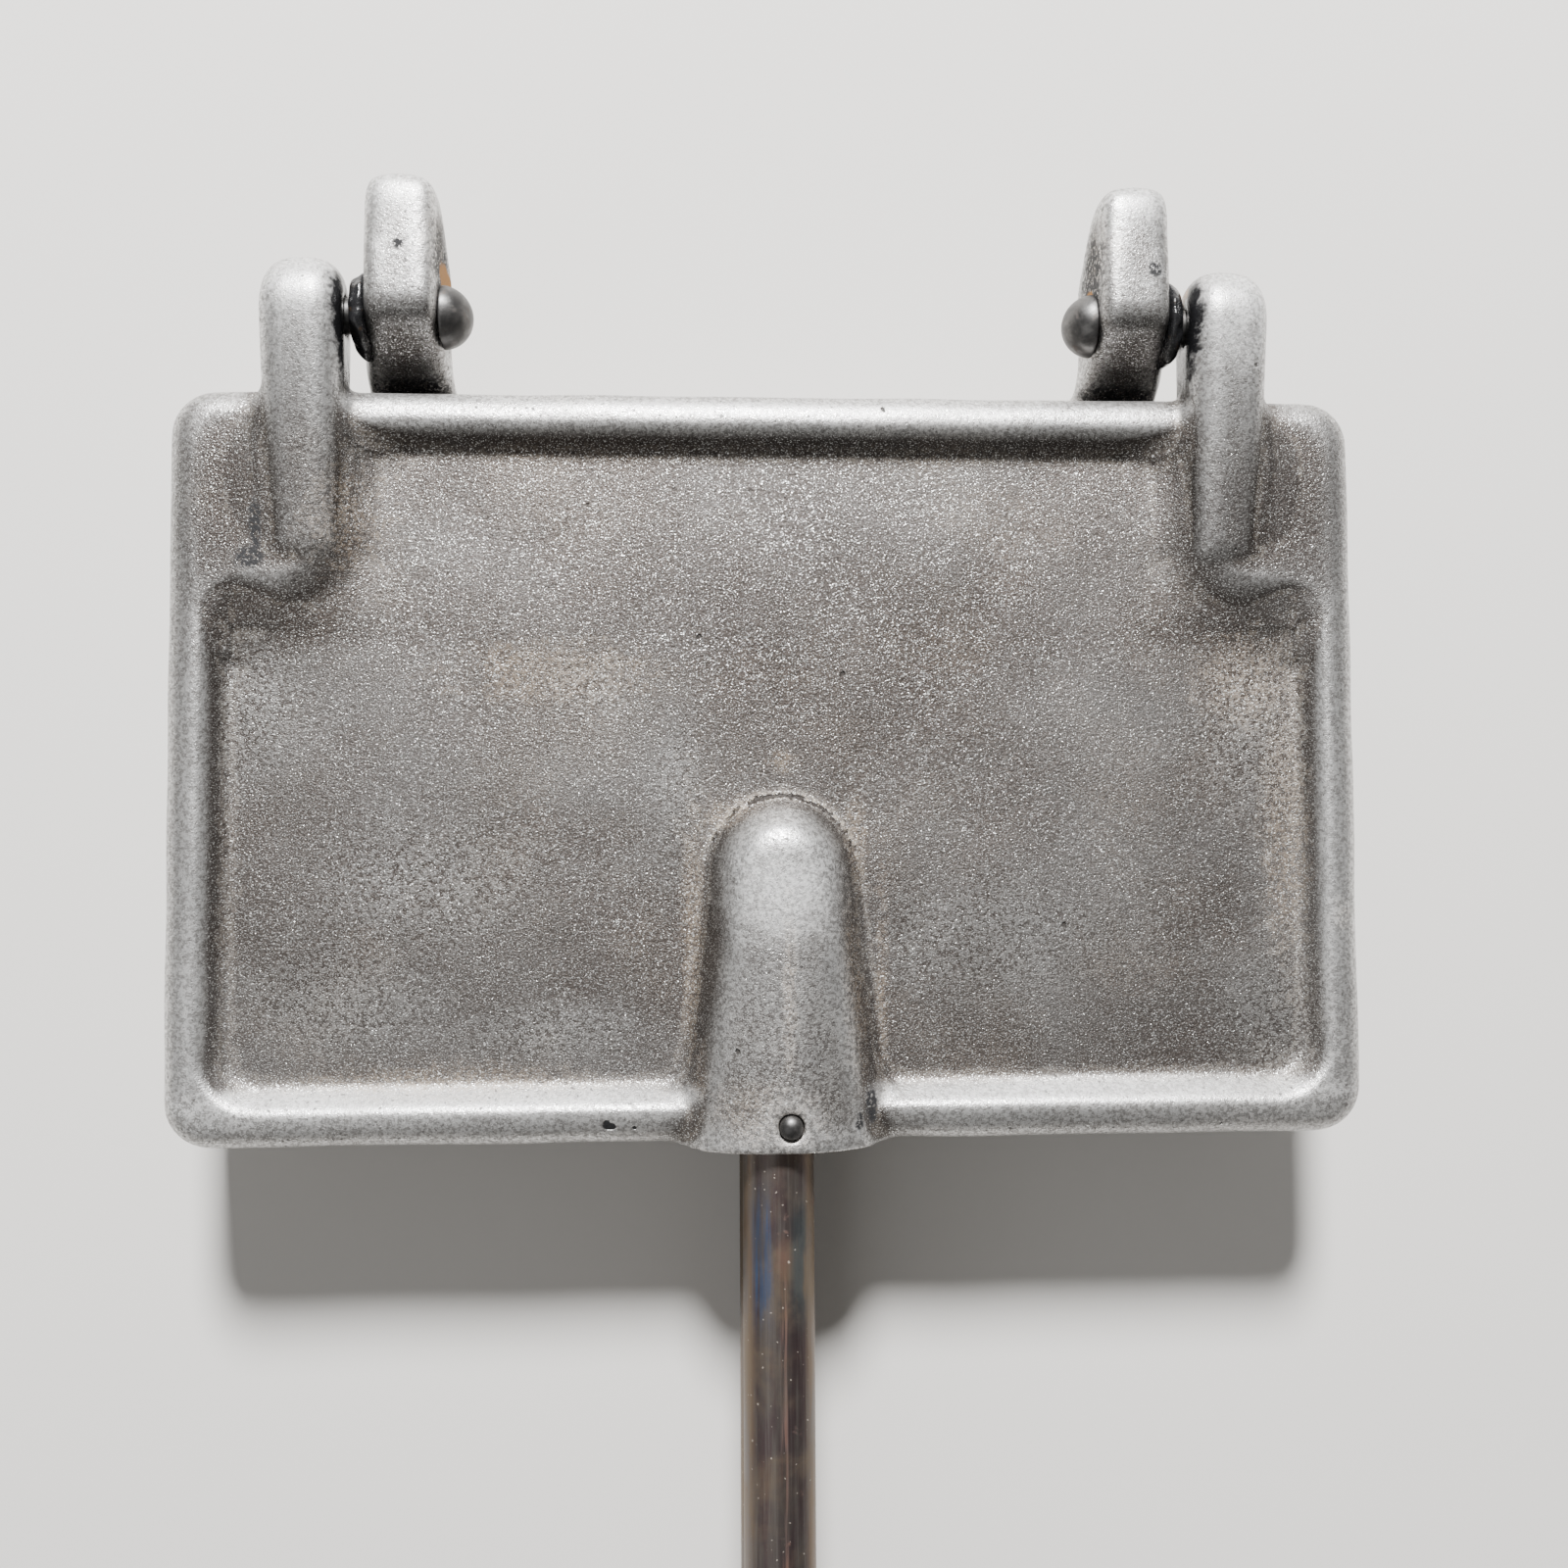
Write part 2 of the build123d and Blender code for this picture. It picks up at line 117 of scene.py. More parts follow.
# A node in the tree of the sockets that feed it; inputs are given by number or name
def addNode(kind, inputs, **settings):
    tree = next(source.id_data for source in inputs.values() if isinstance(source, bpy.types.NodeSocket))
    node = tree.nodes.new("ShaderNode" + kind)
    for key, value in settings.items():
        setattr(node, key, value)
    for key, source in inputs.items():
        feed(source, node.inputs[key])
    return node


def calc(operation, first, second=0.0):
    return addNode("Math", {0: first, 1: second}, operation=operation).outputs[0]


def times(first, *others):
    for other in others:
        first = calc("MULTIPLY", first, other)
    return first


def plus(first, second):
    return calc("ADD", first, second)


def minus(first, second):
    return calc("SUBTRACT", first, second)


def most(first, *others):
    for other in others:
        first = calc("MAXIMUM", first, other)
    return first


# Low where the mask is 0, and more by gain where it is 1
def ramp(mask, low, gain):
    return plus(low, times(mask, gain))


def calcVector(operation, first, second=(0, 0, 0)):
    node = addNode("VectorMath", {0: first, 1: second}, operation=operation)
    return node.outputs["Value" if operation == "LENGTH" else "Vector"]


def stretched(where, scales):
    return calcVector("MULTIPLY", where, scales)


def between(value, low, high, start=0.0, end=1.0):
    return addNode("MapRange", dict(enumerate((value, low, high, start, end))), clamp=True,
                   interpolation_type="SMOOTHSTEP").outputs[0]


# Rises over one pair of values and falls again over the other
def window(value, rise, fall):
    return times(between(value, *rise), between(value, *fall))


def noise(vector, scale, detail=2.0, roughness=0.5, distortion=0.0):
    return addNode("TexNoise", {"Vector": vector, "Scale": scale, "Detail": detail, "Roughness": roughness,
                                "Distortion": distortion}).outputs


# Noise squeezed along each axis by its own scale
def drawnNoise(where, scales, detail, roughness=0.5):
    return noise(stretched(where, scales), 1.0, detail, roughness)


def mixColour(share, under, over):
    return addNode("Mix", {0: share, 6: under, 7: over}, data_type="RGBA").outputs[2]


def mixValue(share, under, over):
    return addNode("Mix", {0: share, 2: under, 3: over}, data_type="FLOAT").outputs[0]


def attribute(where, label):
    node = where.id_data.nodes.new("ShaderNodeAttribute")
    node.attribute_name = label
    return node.outputs["Fac"]


def metres(values):
    return [value * mm for value in values]


# Every effect takes a place, and what else is named here; a tuple makes a vector input
def effectGroup(name, outputs, **inputs):
    group = bpy.data.node_groups.new(name, "ShaderNodeTree")
    group.interface.new_socket(name="Vector", in_out="INPUT", socket_type="NodeSocketVector")
    for label, value in inputs.items():
        kind = "Vector" if isinstance(value, tuple) else "Float"
        socket = group.interface.new_socket(name=label, in_out="INPUT", socket_type="NodeSocket" + kind)
        socket.default_value = value
    for label in outputs:
        group.interface.new_socket(name=label, in_out="OUTPUT", socket_type="NodeSocketFloat")
    start = group.nodes.new("NodeGroupInput")
    end = group.nodes.new("NodeGroupOutput")
    return group, start.outputs, end.inputs


def useGroup(group, where, **values):
    return addNode("Group", {"Vector": where, **values}, node_tree=group).outputs


# Effects shared by the materials
# Noises as (scale, detail, roughness, distortion)
noises = {
    "ragged": (420.0, 4.0, 0.7),
    "jagged": (1500.0, 2.0, 0.6),
    "cloud": (5.0, 0.62, 0.3),        # without its scale, which the effect is given
    "pitEdge": (900.0, 1.0),
    "streaks": (1.0, 2.0, 0.6),
}

skinShape = {
    "coarse": 0.48,                   # scales of the coarser grain and of the glints, beside the fine grain
    "sparkle": 0.85,
    "lean": (0.8, 1.0, 1.0),
    "fineShare": 0.35,
    "coarseShare": 0.65,
    "glint": (0.7, 0.16, 0.07),      # edge without glints, its fall with them, softness
    "speck": (0.42, 0.3),
}

pitShape = {"ragged": 0.9 * mm, "leastSize": 0.45, "floor": 0.55}
scratchShape = {"edge": 0.74, "fall": 0.2, "soft": 0.06}
raggedGain = 3.0     # how far noise moves the edge of a small mark


# Sand-cast skin: its height, bright glints and dark specks, each well under a millimetre; the glints are
# painted highlights
def makeCastSkin():
    group, given, out = effectGroup("castSkin", ["Height", "Glint", "Speck"], Grain=5000.0, Glints=0.5)
    where, grain = given["Vector"], given["Grain"]
    fine = noise(where, grain, 1.0, 0.6)[0]
    coarse = noise(where, times(grain, skinShape["coarse"]), 2.0, 0.65)[0]
    sparkle = noise(stretched(where, skinShape["lean"]), times(grain, skinShape["sparkle"]), 1.0, 0.5)[0]
    feed(plus(times(fine, skinShape["fineShare"]), times(coarse, skinShape["coarseShare"])), out["Height"])
    edge, fall, soft = skinShape["glint"]
    edge = minus(edge, times(given["Glints"], fall))
    feed(between(sparkle, edge, plus(edge, soft)), out["Glint"])
    feed(between(coarse, *skinShape["speck"]), out["Speck"])
    return group


# Scattered small holes: Share of the cells have one, Size is in cells
def makePitMarks():
    group, given, out = effectGroup("pitMarks", ["Mask"], Spacing=160.0, Share=0.2, Size=0.12)
    ragged = calcVector("SCALE", noise(given["Vector"], *noises["pitEdge"])["Color"])
    ragged.node.inputs["Scale"].default_value = pitShape["ragged"]
    cells = addNode("TexVoronoi", {0: calcVector("ADD", given["Vector"], ragged), "Scale": given["Spacing"]},
                    feature="F1").outputs
    pick = addNode("SeparateColor", {0: cells["Color"]}).outputs
    size = times(given["Size"], plus(pitShape["leastSize"], pick[1]))
    hole = between(cells["Distance"], size, times(size, pitShape["floor"]))
    feed(times(hole, calc("LESS_THAN", pick[0], given["Share"])), out["Mask"])
    return group


def makeCloudPatch():
    group, given, out = effectGroup("cloudPatch", ["Mask"], Scale=40.0, Low=0.45, High=0.65)
    cloud = noise(given["Vector"], given["Scale"], *noises["cloud"])[0]
    feed(between(cloud, given["Low"], given["High"]), out["Mask"])
    return group


# One mark at a place on the piece, with ragged edges
def makePlaceMark():
    group, given, out = effectGroup("placeMark", ["Mask"], Centre=(0, 0, 0), Reach=(0.01, 0.01, 0.01),
                                    Ragged=0.5, Soft=0.5)
    away = calcVector("SUBTRACT", given["Vector"], given["Centre"])
    far = calcVector("LENGTH", calcVector("DIVIDE", away, given["Reach"]))
    rough = minus(noise(given["Vector"], *noises["ragged"])[0], 0.5)
    far = plus(far, times(rough, times(given["Ragged"], raggedGain)))
    feed(between(far, plus(1.0, given["Soft"]), minus(1.0, given["Soft"])), out["Mask"])
    return group


# Fine straight scratches, all one way
def makeScratches():
    group, given, out = effectGroup("scratches", ["Mask"], Turn=0.0, Long=55.0, Across=2600.0, Share=0.3)
    turned = addNode("VectorRotate", {"Vector": given["Vector"], "Angle": given["Turn"]},
                     rotation_type="Z_AXIS").outputs[0]
    scales = addNode("CombineXYZ", {0: given["Long"], 1: given["Across"], 2: given["Long"]}).outputs[0]
    streaks = noise(stretched(turned, scales), *noises["streaks"])[0]
    edge = minus(scratchShape["edge"], times(given["Share"], scratchShape["fall"]))
    feed(between(streaks, edge, plus(edge, scratchShape["soft"])), out["Mask"])
    return group


# 1 inside a box round Centre, fading over Soft metres outside it
def makeInsideBox():
    group, given, out = effectGroup("insideBox", ["Mask"], Centre=(0, 0, 0), Half=(0.01, 0.01, 0.01),
                                    Soft=0.002)
    away = calcVector("ABSOLUTE", calcVector("SUBTRACT", given["Vector"], given["Centre"]))
    over = calcVector("MAXIMUM", calcVector("SUBTRACT", away, given["Half"]))
    feed(between(calcVector("LENGTH", over), given["Soft"], 0.0), out["Mask"])
    return group


castSkin = makeCastSkin()
pitMarks = makePitMarks()
cloudPatch = makeCloudPatch()
placeMark = makePlaceMark()
scratches = makeScratches()
insideBox = makeInsideBox()


def cloudAt(where, scale, low, high):
    return useGroup(cloudPatch, where, Scale=scale, Low=low, High=high)[0]


# Centre and reach are in millimetres
def markAt(where, centre, reach, ragged, soft):
    return useGroup(placeMark, where, Centre=Vector(centre) * mm, Reach=Vector(reach) * mm, Ragged=ragged,
                    Soft=soft)[0]


def newMaterial(name):
    material = bpy.data.materials.new(name)
    material.use_nodes = True
    nodes = material.node_tree.nodes
    return material, nodes.new("ShaderNodeTexCoord").outputs["Object"], nodes["Principled BSDF"].inputs


# Layers go from the bottom up: (mask, share, colour) for the colour, (mask, value) for the other values
def paint(shader, finish, masks):
    colour, layers = finish["colour"]
    colour = finish[colour]
    for label, share, tint in layers:
        colour = mixColour(times(masks[label], share), colour, finish[tint])
    feed(colour, shader["Base Color"])
    for target, (value, layers) in finish["values"].items():
        for label, over in layers:
            value = mixValue(masks[label], value, over)
        feed(value, shader[target])


def setBump(shader, height, distance, **under):
    bump = addNode("Bump", {"Height": height, "Distance": distance, **under}).outputs[0]
    feed(bump, shader["Normal"])
    return bump


# Cast aluminium
castFinish = {
    "field": (0.098, 0.084, 0.076),        # brownish old aluminium
    "clean": (0.185, 0.18, 0.176),
    # the worn colour also paints the highlights of the shine marks
    "worn": (0.8, 0.795, 0.785),
    # painted highlights: the skin's glints and the sparkles
    "glint": (0.95, 0.95, 0.93),
    "dirt": (0.026, 0.021, 0.018),
    "tan": (0.27, 0.2, 0.135),
    "pale": (0.32, 0.312, 0.3),
    "black": (0.01, 0.01, 0.011),
    "amber": (0.34, 0.14, 0.004),
    # dark flakes, and painted shade at the dull marks
    "shade": (0.05, 0.041, 0.036),
    "lip": (0.42, 0.37, 0.3),
    "seasoned": (0.085, 0.04, 0.016),
    # the dull layer is painted shade; the glints, the sparkles and, through the wear, the shine marks are
    # painted highlights
    "colour": ("field", [
        ("clouds", 0.4, "clean"), ("mottle", 0.14, "clean"), ("pale", 1.0, "pale"), ("flakes", 1.0, "shade"),
        ("dull", 0.7, "shade"), ("wear", 0.9, "worn"), ("stain", 1.0, "tan"), ("speck", 0.62, "dirt"),
        ("glint", 0.75, "glint"), ("sparks", 1.0, "glint"), ("lines", 0.3, "pale"), ("lipShare", 1.0, "lip"),
        ("dirt", 0.9, "dirt"), ("seasoned", 1.0, "seasoned"), ("grime", 1.0, "black"),
        ("amber", 1.0, "amber")]),
    "values": {
        "Roughness": (0.44, [("clouds", 0.5), ("wear", 0.42), ("bright", 0.26), ("matte", 0.72),
                      ("seasoned", 0.33), ("burnt", 0.75), ("grease", 0.16)]),
        "Metallic": (0.9, [("matte", 0.35), ("shine", 0.42), ("seasoned", 0.25), ("covered", 0.0)])},
    "skinDepth": 0.17 * mm,
    "pitDepth": 0.5 * mm,
}

# The shared effects on it, each with its values
castEffects = {
    "pits": (pitMarks, dict(Spacing=150.0, Share=0.1, Size=0.07)),
    "grit": (pitMarks, dict(Spacing=900.0, Share=0.3, Size=0.26)),
    # sparkles: small white dots of painted highlight
    "sparks": (pitMarks, dict(Spacing=640.0, Share=0.42, Size=0.12)),
    "clouds": (cloudPatch, dict(Scale=24.0, Low=0.4, High=0.68)),
    "mottle": (cloudPatch, dict(Scale=1300.0, Low=0.43, High=0.57)),
    "browning": (cloudPatch, dict(Scale=38.0, Low=0.46, High=0.72)),
    "lines": (scratches, dict(Turn=-0.35, Long=60.0, Share=0.1)),
}

# Soft marks: how far noise moves their edge, then where they begin and where they are full, in reaches
# shine marks are painted highlights and dull marks are painted shade
softEdges = {"tan": (2.2, 1.6, 0.4), "pale": (2.6, 1.8, 0.2), "shine": (0.8, 1.5, 0.4),
             "dull": (1.0, 1.7, 0.3)}

# A pair is (least share, what full mottle adds), where a note doesn't say otherwise
castWear = {
    "glints": 0.7,
    "crest": (-0.05, 0.75),           # crests begin to wear here, and are worn bare there
    "worn": (0.42, 0.58),
    "clouded": 0.78,                  # what is left of the wear between the clouds
    "dulled": 0.7,                   # what the painted shade of the dull marks takes off it
    # painted highlight at the shine marks
    "shine": (0.62, 0.38),
    "pale": (0.03, 0.52),
    "flakes": 0.4,
    "browning": 0.35,
    "stain": (0.08, 0.34),
    "lip": (0.05, 0.7),
    "foldRagged": 0.9,
    "groove": (-0.65, -1.25),         # dirt in the folds, from shallow to deep
    "grooveShare": 0.2,
    "foldLip": ((-0.1, -0.26), (-0.6, -0.42)),
    "foldLipShare": 0.22,
    "grit": 0.7,
    "matteDirt": 0.9,
    "seasoned": (0.92, 0.45),         # share, and what the clouds take off it
    "broken": (0.41, 0.47),           # noise that breaks the black marks
    "wornSkin": 0.5,                  # what is left of the skin's height under wear and painted highlight, and under grease
    "greasySkin": 0.3,
    "raisedMottle": 0.3,
    "raised": 0.12,
}

# The browned cooking faces, as a box between the plates
bakedBox = {"centre": (0, 161.5, 23), "half": (101, 61, 2.4), "soft": 1.6}


# Each mark, and its mirror image on the other side
def bothSides(*marks):
    return [((side * centre[0], *centre[1:]), *others) for centre, *others in marks for side in (1, -1)]


greaseMarks = bothSides(((74.4, 243, 33), (3.0, 15, 30), 0.45, 0.25))

# Soft marks are (centre, reach) and small marks are (centre, reach, ragged, soft), in millimetres
upperMarks = {
    "tan": [((-14.6, 132, 33), (1.8, 22, 3)), ((-5, 152.4, 33), (9, 2.8, 3)), ((15.0, 147, 33), (2.0, 8, 3)),
            ((19.6, 126, 33), (1.0, 16, 3)), ((-11.4, 106, 35), (2.6, 7, 4)),
            ((2.4, 98.4, 44), (3.8, 3.6, 2)),
            ((88, 176, 33), (9, 8, 3)), ((94, 150, 33), (4, 24, 3)), ((103, 133.5, 37), (2.2, 2.6, 3)),
            ((14.2, 122, 38), (3, 18, 4)), ((-2, 100, 43), (10, 6, 4)), ((-40, 178, 33), (16, 5, 3)),
            ((-74, 204, 38), (8, 10, 5)), ((-58, 104, 33), (24, 4, 3)), ((2, 162, 33), (2.4, 2, 3)),
            ((2.2, 122, 45), (1.2, 15, 4))],
    # the pale mark on the nose of the boss, at (2.5, 146, 40), is a painted highlight
    "pale": [((-33, 177, 33), (8, 6, 3)), ((-40, 114, 33), (12, 4.5, 3)), ((-77, 120, 33), (14, 8, 3)),
             ((-92, 172, 33), (7, 12, 3)), ((90, 168, 33), (9, 14, 3)), ((-62, 140, 33), (16, 9, 3)),
             ((40, 130, 33), (18, 9, 3)), ((2.5, 146, 40), (9, 9, 9)), ((92, 116, 33), (8, 12, 3)),
             ((-17.5, 156, 33), (3.6, 14, 3)), ((1.5, 112, 44), (12, 14, 6))],
    # painted highlights: the nose of the boss, the arm tops by the hinge, the front rim's inner slope and the
    # back rim
    "shine": [((1.5, 139, 39), (10, 10, 9)), ((-82, 246, 43), (9, 8, 6)), ((83, 243, 43), (9, 12, 6)),
              ((-62, 102.6, 36), (50, 2.4, 4)), ((60, 102.6, 36), (46, 2.4, 4)), ((0, 226, 38), (78, 3, 3))],
    # painted shade: the middles of the arms, the field's back half, the back wall of the recess, the pads and
    # beside the arms' ends
    "dull": [((-83, 209, 40), (9, 20, 9)), ((84, 206, 40), (9, 17, 9)), ((8, 188, 33), (42, 22, 4)),
             ((0, 217.6, 35), (74, 2.2, 4)),
             *bothSides(((99, 205, 37), (7, 22, 4)), ((78, 186, 36), (16, 3.5, 5)))],
    "black": [((-91.0, 203.4, 37.5), (1.2, 5.8, 4), 0.4, 0.35),
              ((-91.9, 198.0, 37.0), (2.5, 2.2, 4), 0.4, 0.35),
              ((16.6, 101.0, 36.5), (1.5, 3.8, 4), 0.5, 0.4),
              ((14.4, 98.4, 39.0), (1.0, 2.6, 3), 0.6, 0.4)],
    "grease": greaseMarks,
    "amber": [((75.2, 248.2, 35), (1.4, 3.4, 4), 0.3, 0.2)],
    "hole": [((-29.2, 97.8, 37), (1.15, 0.65, 2), 0.3, 0.12), ((-29.6, 98.3, 37), (0.6, 0.6, 2), 0.3, 0.12),
             ((-24.8, 97.5, 37), (0.35, 0.35, 2), 0.2, 0.2), ((84, 200, 40), (0.4, 0.4, 2), 0.2, 0.2)],
}

lowerMarks = {
    "tan": bothSides(((60, 252, 39), (3, 6, 6))),
    "pale": [((-40, 150, 13), (30, 20, 3)), ((50, 180, 13), (26, 16, 3))],
    # painted highlights on the noses of the ears and along the front rim
    "shine": [*bothSides(((66, 262, 46), (8, 5, 6))), ((0, 102.6, 10), (100, 2.4, 4))],
    # painted shade on the ears' front slopes, the back wall and the field
    "dull": [*bothSides(((66, 238, 38), (11, 9, 10))), ((0, 217.6, 11), (74, 2.2, 4)),
             ((0, 185, 13), (60, 25, 4))],
    # the black marks on the ears' inner sides are painted shade; the band at each ear's root is painted shade
    # and dirt
    "black": [((68.1, 249.0, 44), (1.5, 1.5, 2.5), 0.4, 0.3), ((-65, 251.5, 44), (0.8, 0.9, 2), 0.6, 0.4),
              *bothSides(((59, 250.5, 36), (1.5, 7, 7), 0.6, 0.5), ((66, 231.5, 26), (8, 2.4, 5), 0.4, 0.5))],
    "grease": greaseMarks,
    "amber": [((-59.0, 249.4, 31), (1.6, 3.0, 6.5), 0.2, 0.15), ((59.0, 247, 33), (0.9, 1.8, 3.0), 0.5, 0.2)],
    "hole": [],
}

# The cracked crust round the nose of the boss, on the field; its lip is pale and lies outside the crack
crust = {
    "centre": (1.5, 142.3, 33),
    "radius": 13.45,
    "along": (143.5, 148.5),
    "up": (29, 31),
    "wobble": 1.3,
    "jagged": 1.5,
    "width": 0.42,
    "core": 0.4,                      # share of that width which is fully dark
    "break": (260.0, 2.0),
    "breakEdge": (0.4, 0.5),
    "lipOut": 0.6,
    "lipWidth": (0.7, 0.2),
    "lipBreak": (-0.06, 0.06, 0.25, 1.0),
}


def marksMask(where, marks):
    return most(0.0, *(markAt(where, *mark) for mark in marks))


# Bands beside a ring on the field, measured outwards from it
def crustBands(where, wobble):
    given = crust
    flat = stretched(calcVector("SUBTRACT", where, Vector(given["centre"]) * mm), (1, 1, 0))
    apart = addNode("SeparateXYZ", {0: where}).outputs
    out = minus(calcVector("LENGTH", flat), given["radius"] * mm)
    out = plus(out, times(wobble, given["wobble"] * mm))
    jagged = minus(noise(where, *noises["jagged"])[0], 0.5)
    out = plus(out, times(jagged, given["jagged"] * mm))
    here = times(between(apart[1], *metres(given["along"])), between(apart[2], *metres(given["up"])))
    width = given["width"] * mm
    crack = between(calc("ABSOLUTE", out), width, given["core"] * width)
    crack = times(crack, between(noise(where, *given["break"])[0], *given["breakEdge"]))
    lip = calc("ABSOLUTE", minus(out, given["lipOut"] * mm))
    lip = times(between(lip, *metres(given["lipWidth"])), between(jagged, *given["lipBreak"]))
    return times(crack, here), times(lip, here)


# Every mask of the cast metal, by its name
def castMasks(where, marks, shift):
    given = castWear
    shifted = calcVector("ADD", where, shift)
    masks = {label: useGroup(group, shifted, **values)[0] for label, (group, values) in castEffects.items()}
    clouds, mottle = masks["clouds"], masks["mottle"]
    skin = useGroup(castSkin, shifted, Glints=given["glints"])
    ragged = minus(noise(where, *noises["ragged"])[0], 0.5)
    crest, fold = (attribute(where, label) for label in ("crest", "fold"))
    for label, (gain, begins, full) in softEdges.items():
        far = plus(attribute(where, label + "Mark"), times(ragged, gain))
        masks[label] = between(far, begins, full)

    # painted highlights at the shine marks, laid over the wear
    shine = times(masks["shine"], ramp(mottle, *given["shine"]))
    # the dull marks take wear away where they paint shade
    wear = times(between(crest, *given["crest"]), ramp(mottle, *given["worn"]),
                 mixValue(clouds, given["clouded"], 1.0), minus(1.0, times(masks["dull"], given["dulled"])))
    flakes = times(minus(1.0, mottle), times(masks["pale"], given["flakes"]))
    pale = times(masks["pale"], ramp(mottle, *given["pale"]))
    stain = most(masks["tan"], times(masks["browning"], given["browning"]))
    stain = times(stain, ramp(mottle, *given["stain"]))

    foldHere = plus(fold, times(ragged, given["foldRagged"]))
    groove = times(between(foldHere, *given["groove"]), given["grooveShare"])
    crack, lip = crustBands(where, ragged)
    lip = most(lip, times(window(foldHere, *given["foldLip"]), given["foldLipShare"]))
    dirt = most(groove, crack, masks["pits"], times(masks["grit"], given["grit"]))

    # the cooking faces are browned by years of batter
    baked = useGroup(insideBox, where, Centre=Vector(bakedBox["centre"]) * mm,
                     Half=Vector(bakedBox["half"]) * mm, Soft=bakedBox["soft"] * mm)[0]
    share, clouded = given["seasoned"]
    seasoned = times(baked, minus(share, times(clouds, clouded)))

    hole, black, grease, amber = (marksMask(where, marks[label])
                                  for label in ("hole", "black", "grease", "amber"))
    black = times(black, between(noise(where, *noises["jagged"])[0], *given["broken"]))
    # grime, with the painted shade of the black marks at the ears
    grime = most(grease, hole, black)
    masks.update(
        height=skin["Height"], speck=skin["Speck"], glint=skin["Glint"], flakes=flakes, pale=pale,
        stain=stain, shine=shine, wear=most(wear, shine), bright=most(skin["Glint"], masks["sparks"]),
        seasoned=seasoned, crack=crack, lip=lip, lipShare=times(lip, ramp(mottle, *given["lip"])), dirt=dirt,
        matte=most(stain, lip, times(dirt, given["matteDirt"])), hole=hole, grease=grease, amber=amber,
        grime=grime, burnt=most(black, amber), covered=most(grime, amber))
    return masks


# Grey cast metal: brownish in the flats, silvery on worn crests, dirt in the folds, with painted highlights,
# glints and shade
def makeCastAluminium(name, marks, shift):
    material, where, shader = newMaterial(name)
    given = castWear
    masks = castMasks(where, marks, shift)
    paint(shader, castFinish, masks)
    height = times(masks["height"], mixValue(masks["wear"], 1.0, given["wornSkin"]))
    height = times(height, mixValue(masks["grease"], 1.0, given["greasySkin"]))
    surface = setBump(shader, height, castFinish["skinDepth"])
    raised = most(times(masks["mottle"], given["raisedMottle"]), masks["lip"])
    deep = most(masks["pits"], masks["crack"], masks["hole"])
    setBump(shader, minus(times(raised, given["raised"]), deep), castFinish["pitDepth"], Normal=surface)
    return material


castUpperMetal = makeCastAluminium("castUpperMetal", upperMarks, (0, 0, 0))
castLowerMetal = makeCastAluminium("castLowerMetal", lowerMarks, (0.31, 0.17, 0.05))
print("cast metal is mixed")


# Steel, wood and floor
rodFinish = {
    "middle": (0.125, 0.108, 0.1),
    "bright": (0.2, 0.185, 0.17),
    "straw": (0.17, 0.125, 0.075),
    "blue": (0.06, 0.098, 0.185),
    "teal": (0.07, 0.092, 0.1),
    "rose": (0.19, 0.105, 0.088),
    "purple": (0.095, 0.068, 0.07),
    "rust": (0.15, 0.06, 0.034),
    "fleck": (0.48, 0.43, 0.36),
    "streaks": ((1700, 45, 1700), 3.0, 0.65),     # how much a noise is squeezed, its detail and roughness
    "broad": ((330, 60, 330), 3.0, 0.6),
    "cloud": (60.0, 0.42, 0.66),
    "spots": (210.0, 0.63, 0.74),
    "flecks": dict(Spacing=900.0, Share=0.45, Size=0.15),
    # share of the painted warm reflection along the bar's edges
    "tanShare": 0.6,
    "dullCloud": 0.3,
    "rustDepth": 0.4,
    "depth": 0.035 * mm,
    "colour": ("middle", [("purple", 1.0, "purple"), ("bright", 0.45, "bright"), ("cloud", 0.55, "straw"),
                          ("blue", 0.85, "blue"), ("teal", 0.7, "teal"), ("rose", 0.5, "rose"),
                          ("tan", 1.0, "straw"), ("rust", 0.65, "rust"), ("flecks", 0.5, "fleck")]),
    "values": {"Roughness": (0.36, [("fine", 0.54), ("dull", 0.7)]), "Metallic": (0.92, [("dull", 0.4)])},
}

# Where its colours lie, in millimetres across from the bar's middle or along Y
rodPlaces = {"middle": 0.5, "blue": (-0.6, -2.4), "blueEdge": (-4.2, -5.4), "bandFront": (60, 70),
             "bandBack": (90, 80), "tealIn": (1.2, 2.8), "tealOut": (5.4, 4.2), "tan": (3.9, 5.4),
             "rose": ((1.0, 76, 17), (1.6, 4.2, 30), 0.4, 0.5), "rustMiddle": 0.6, "rust": (0.9, 0.2),
             "rustAlong": (82, 66)}

# The noise that breaks each of them
rodBreaks = {"purple": (0.35, 0.65), "bright": (0.45, 0.75), "blue": (0.34, 0.62),
             "blueWide": (0.28, 0.52, 0.25, 1.0), "teal": (0.36, 0.58), "tan": (0.3, 0.6),
             "rust": (0.35, 0.6), "rustWide": (0.34, 0.58, 0.15, 0.8)}


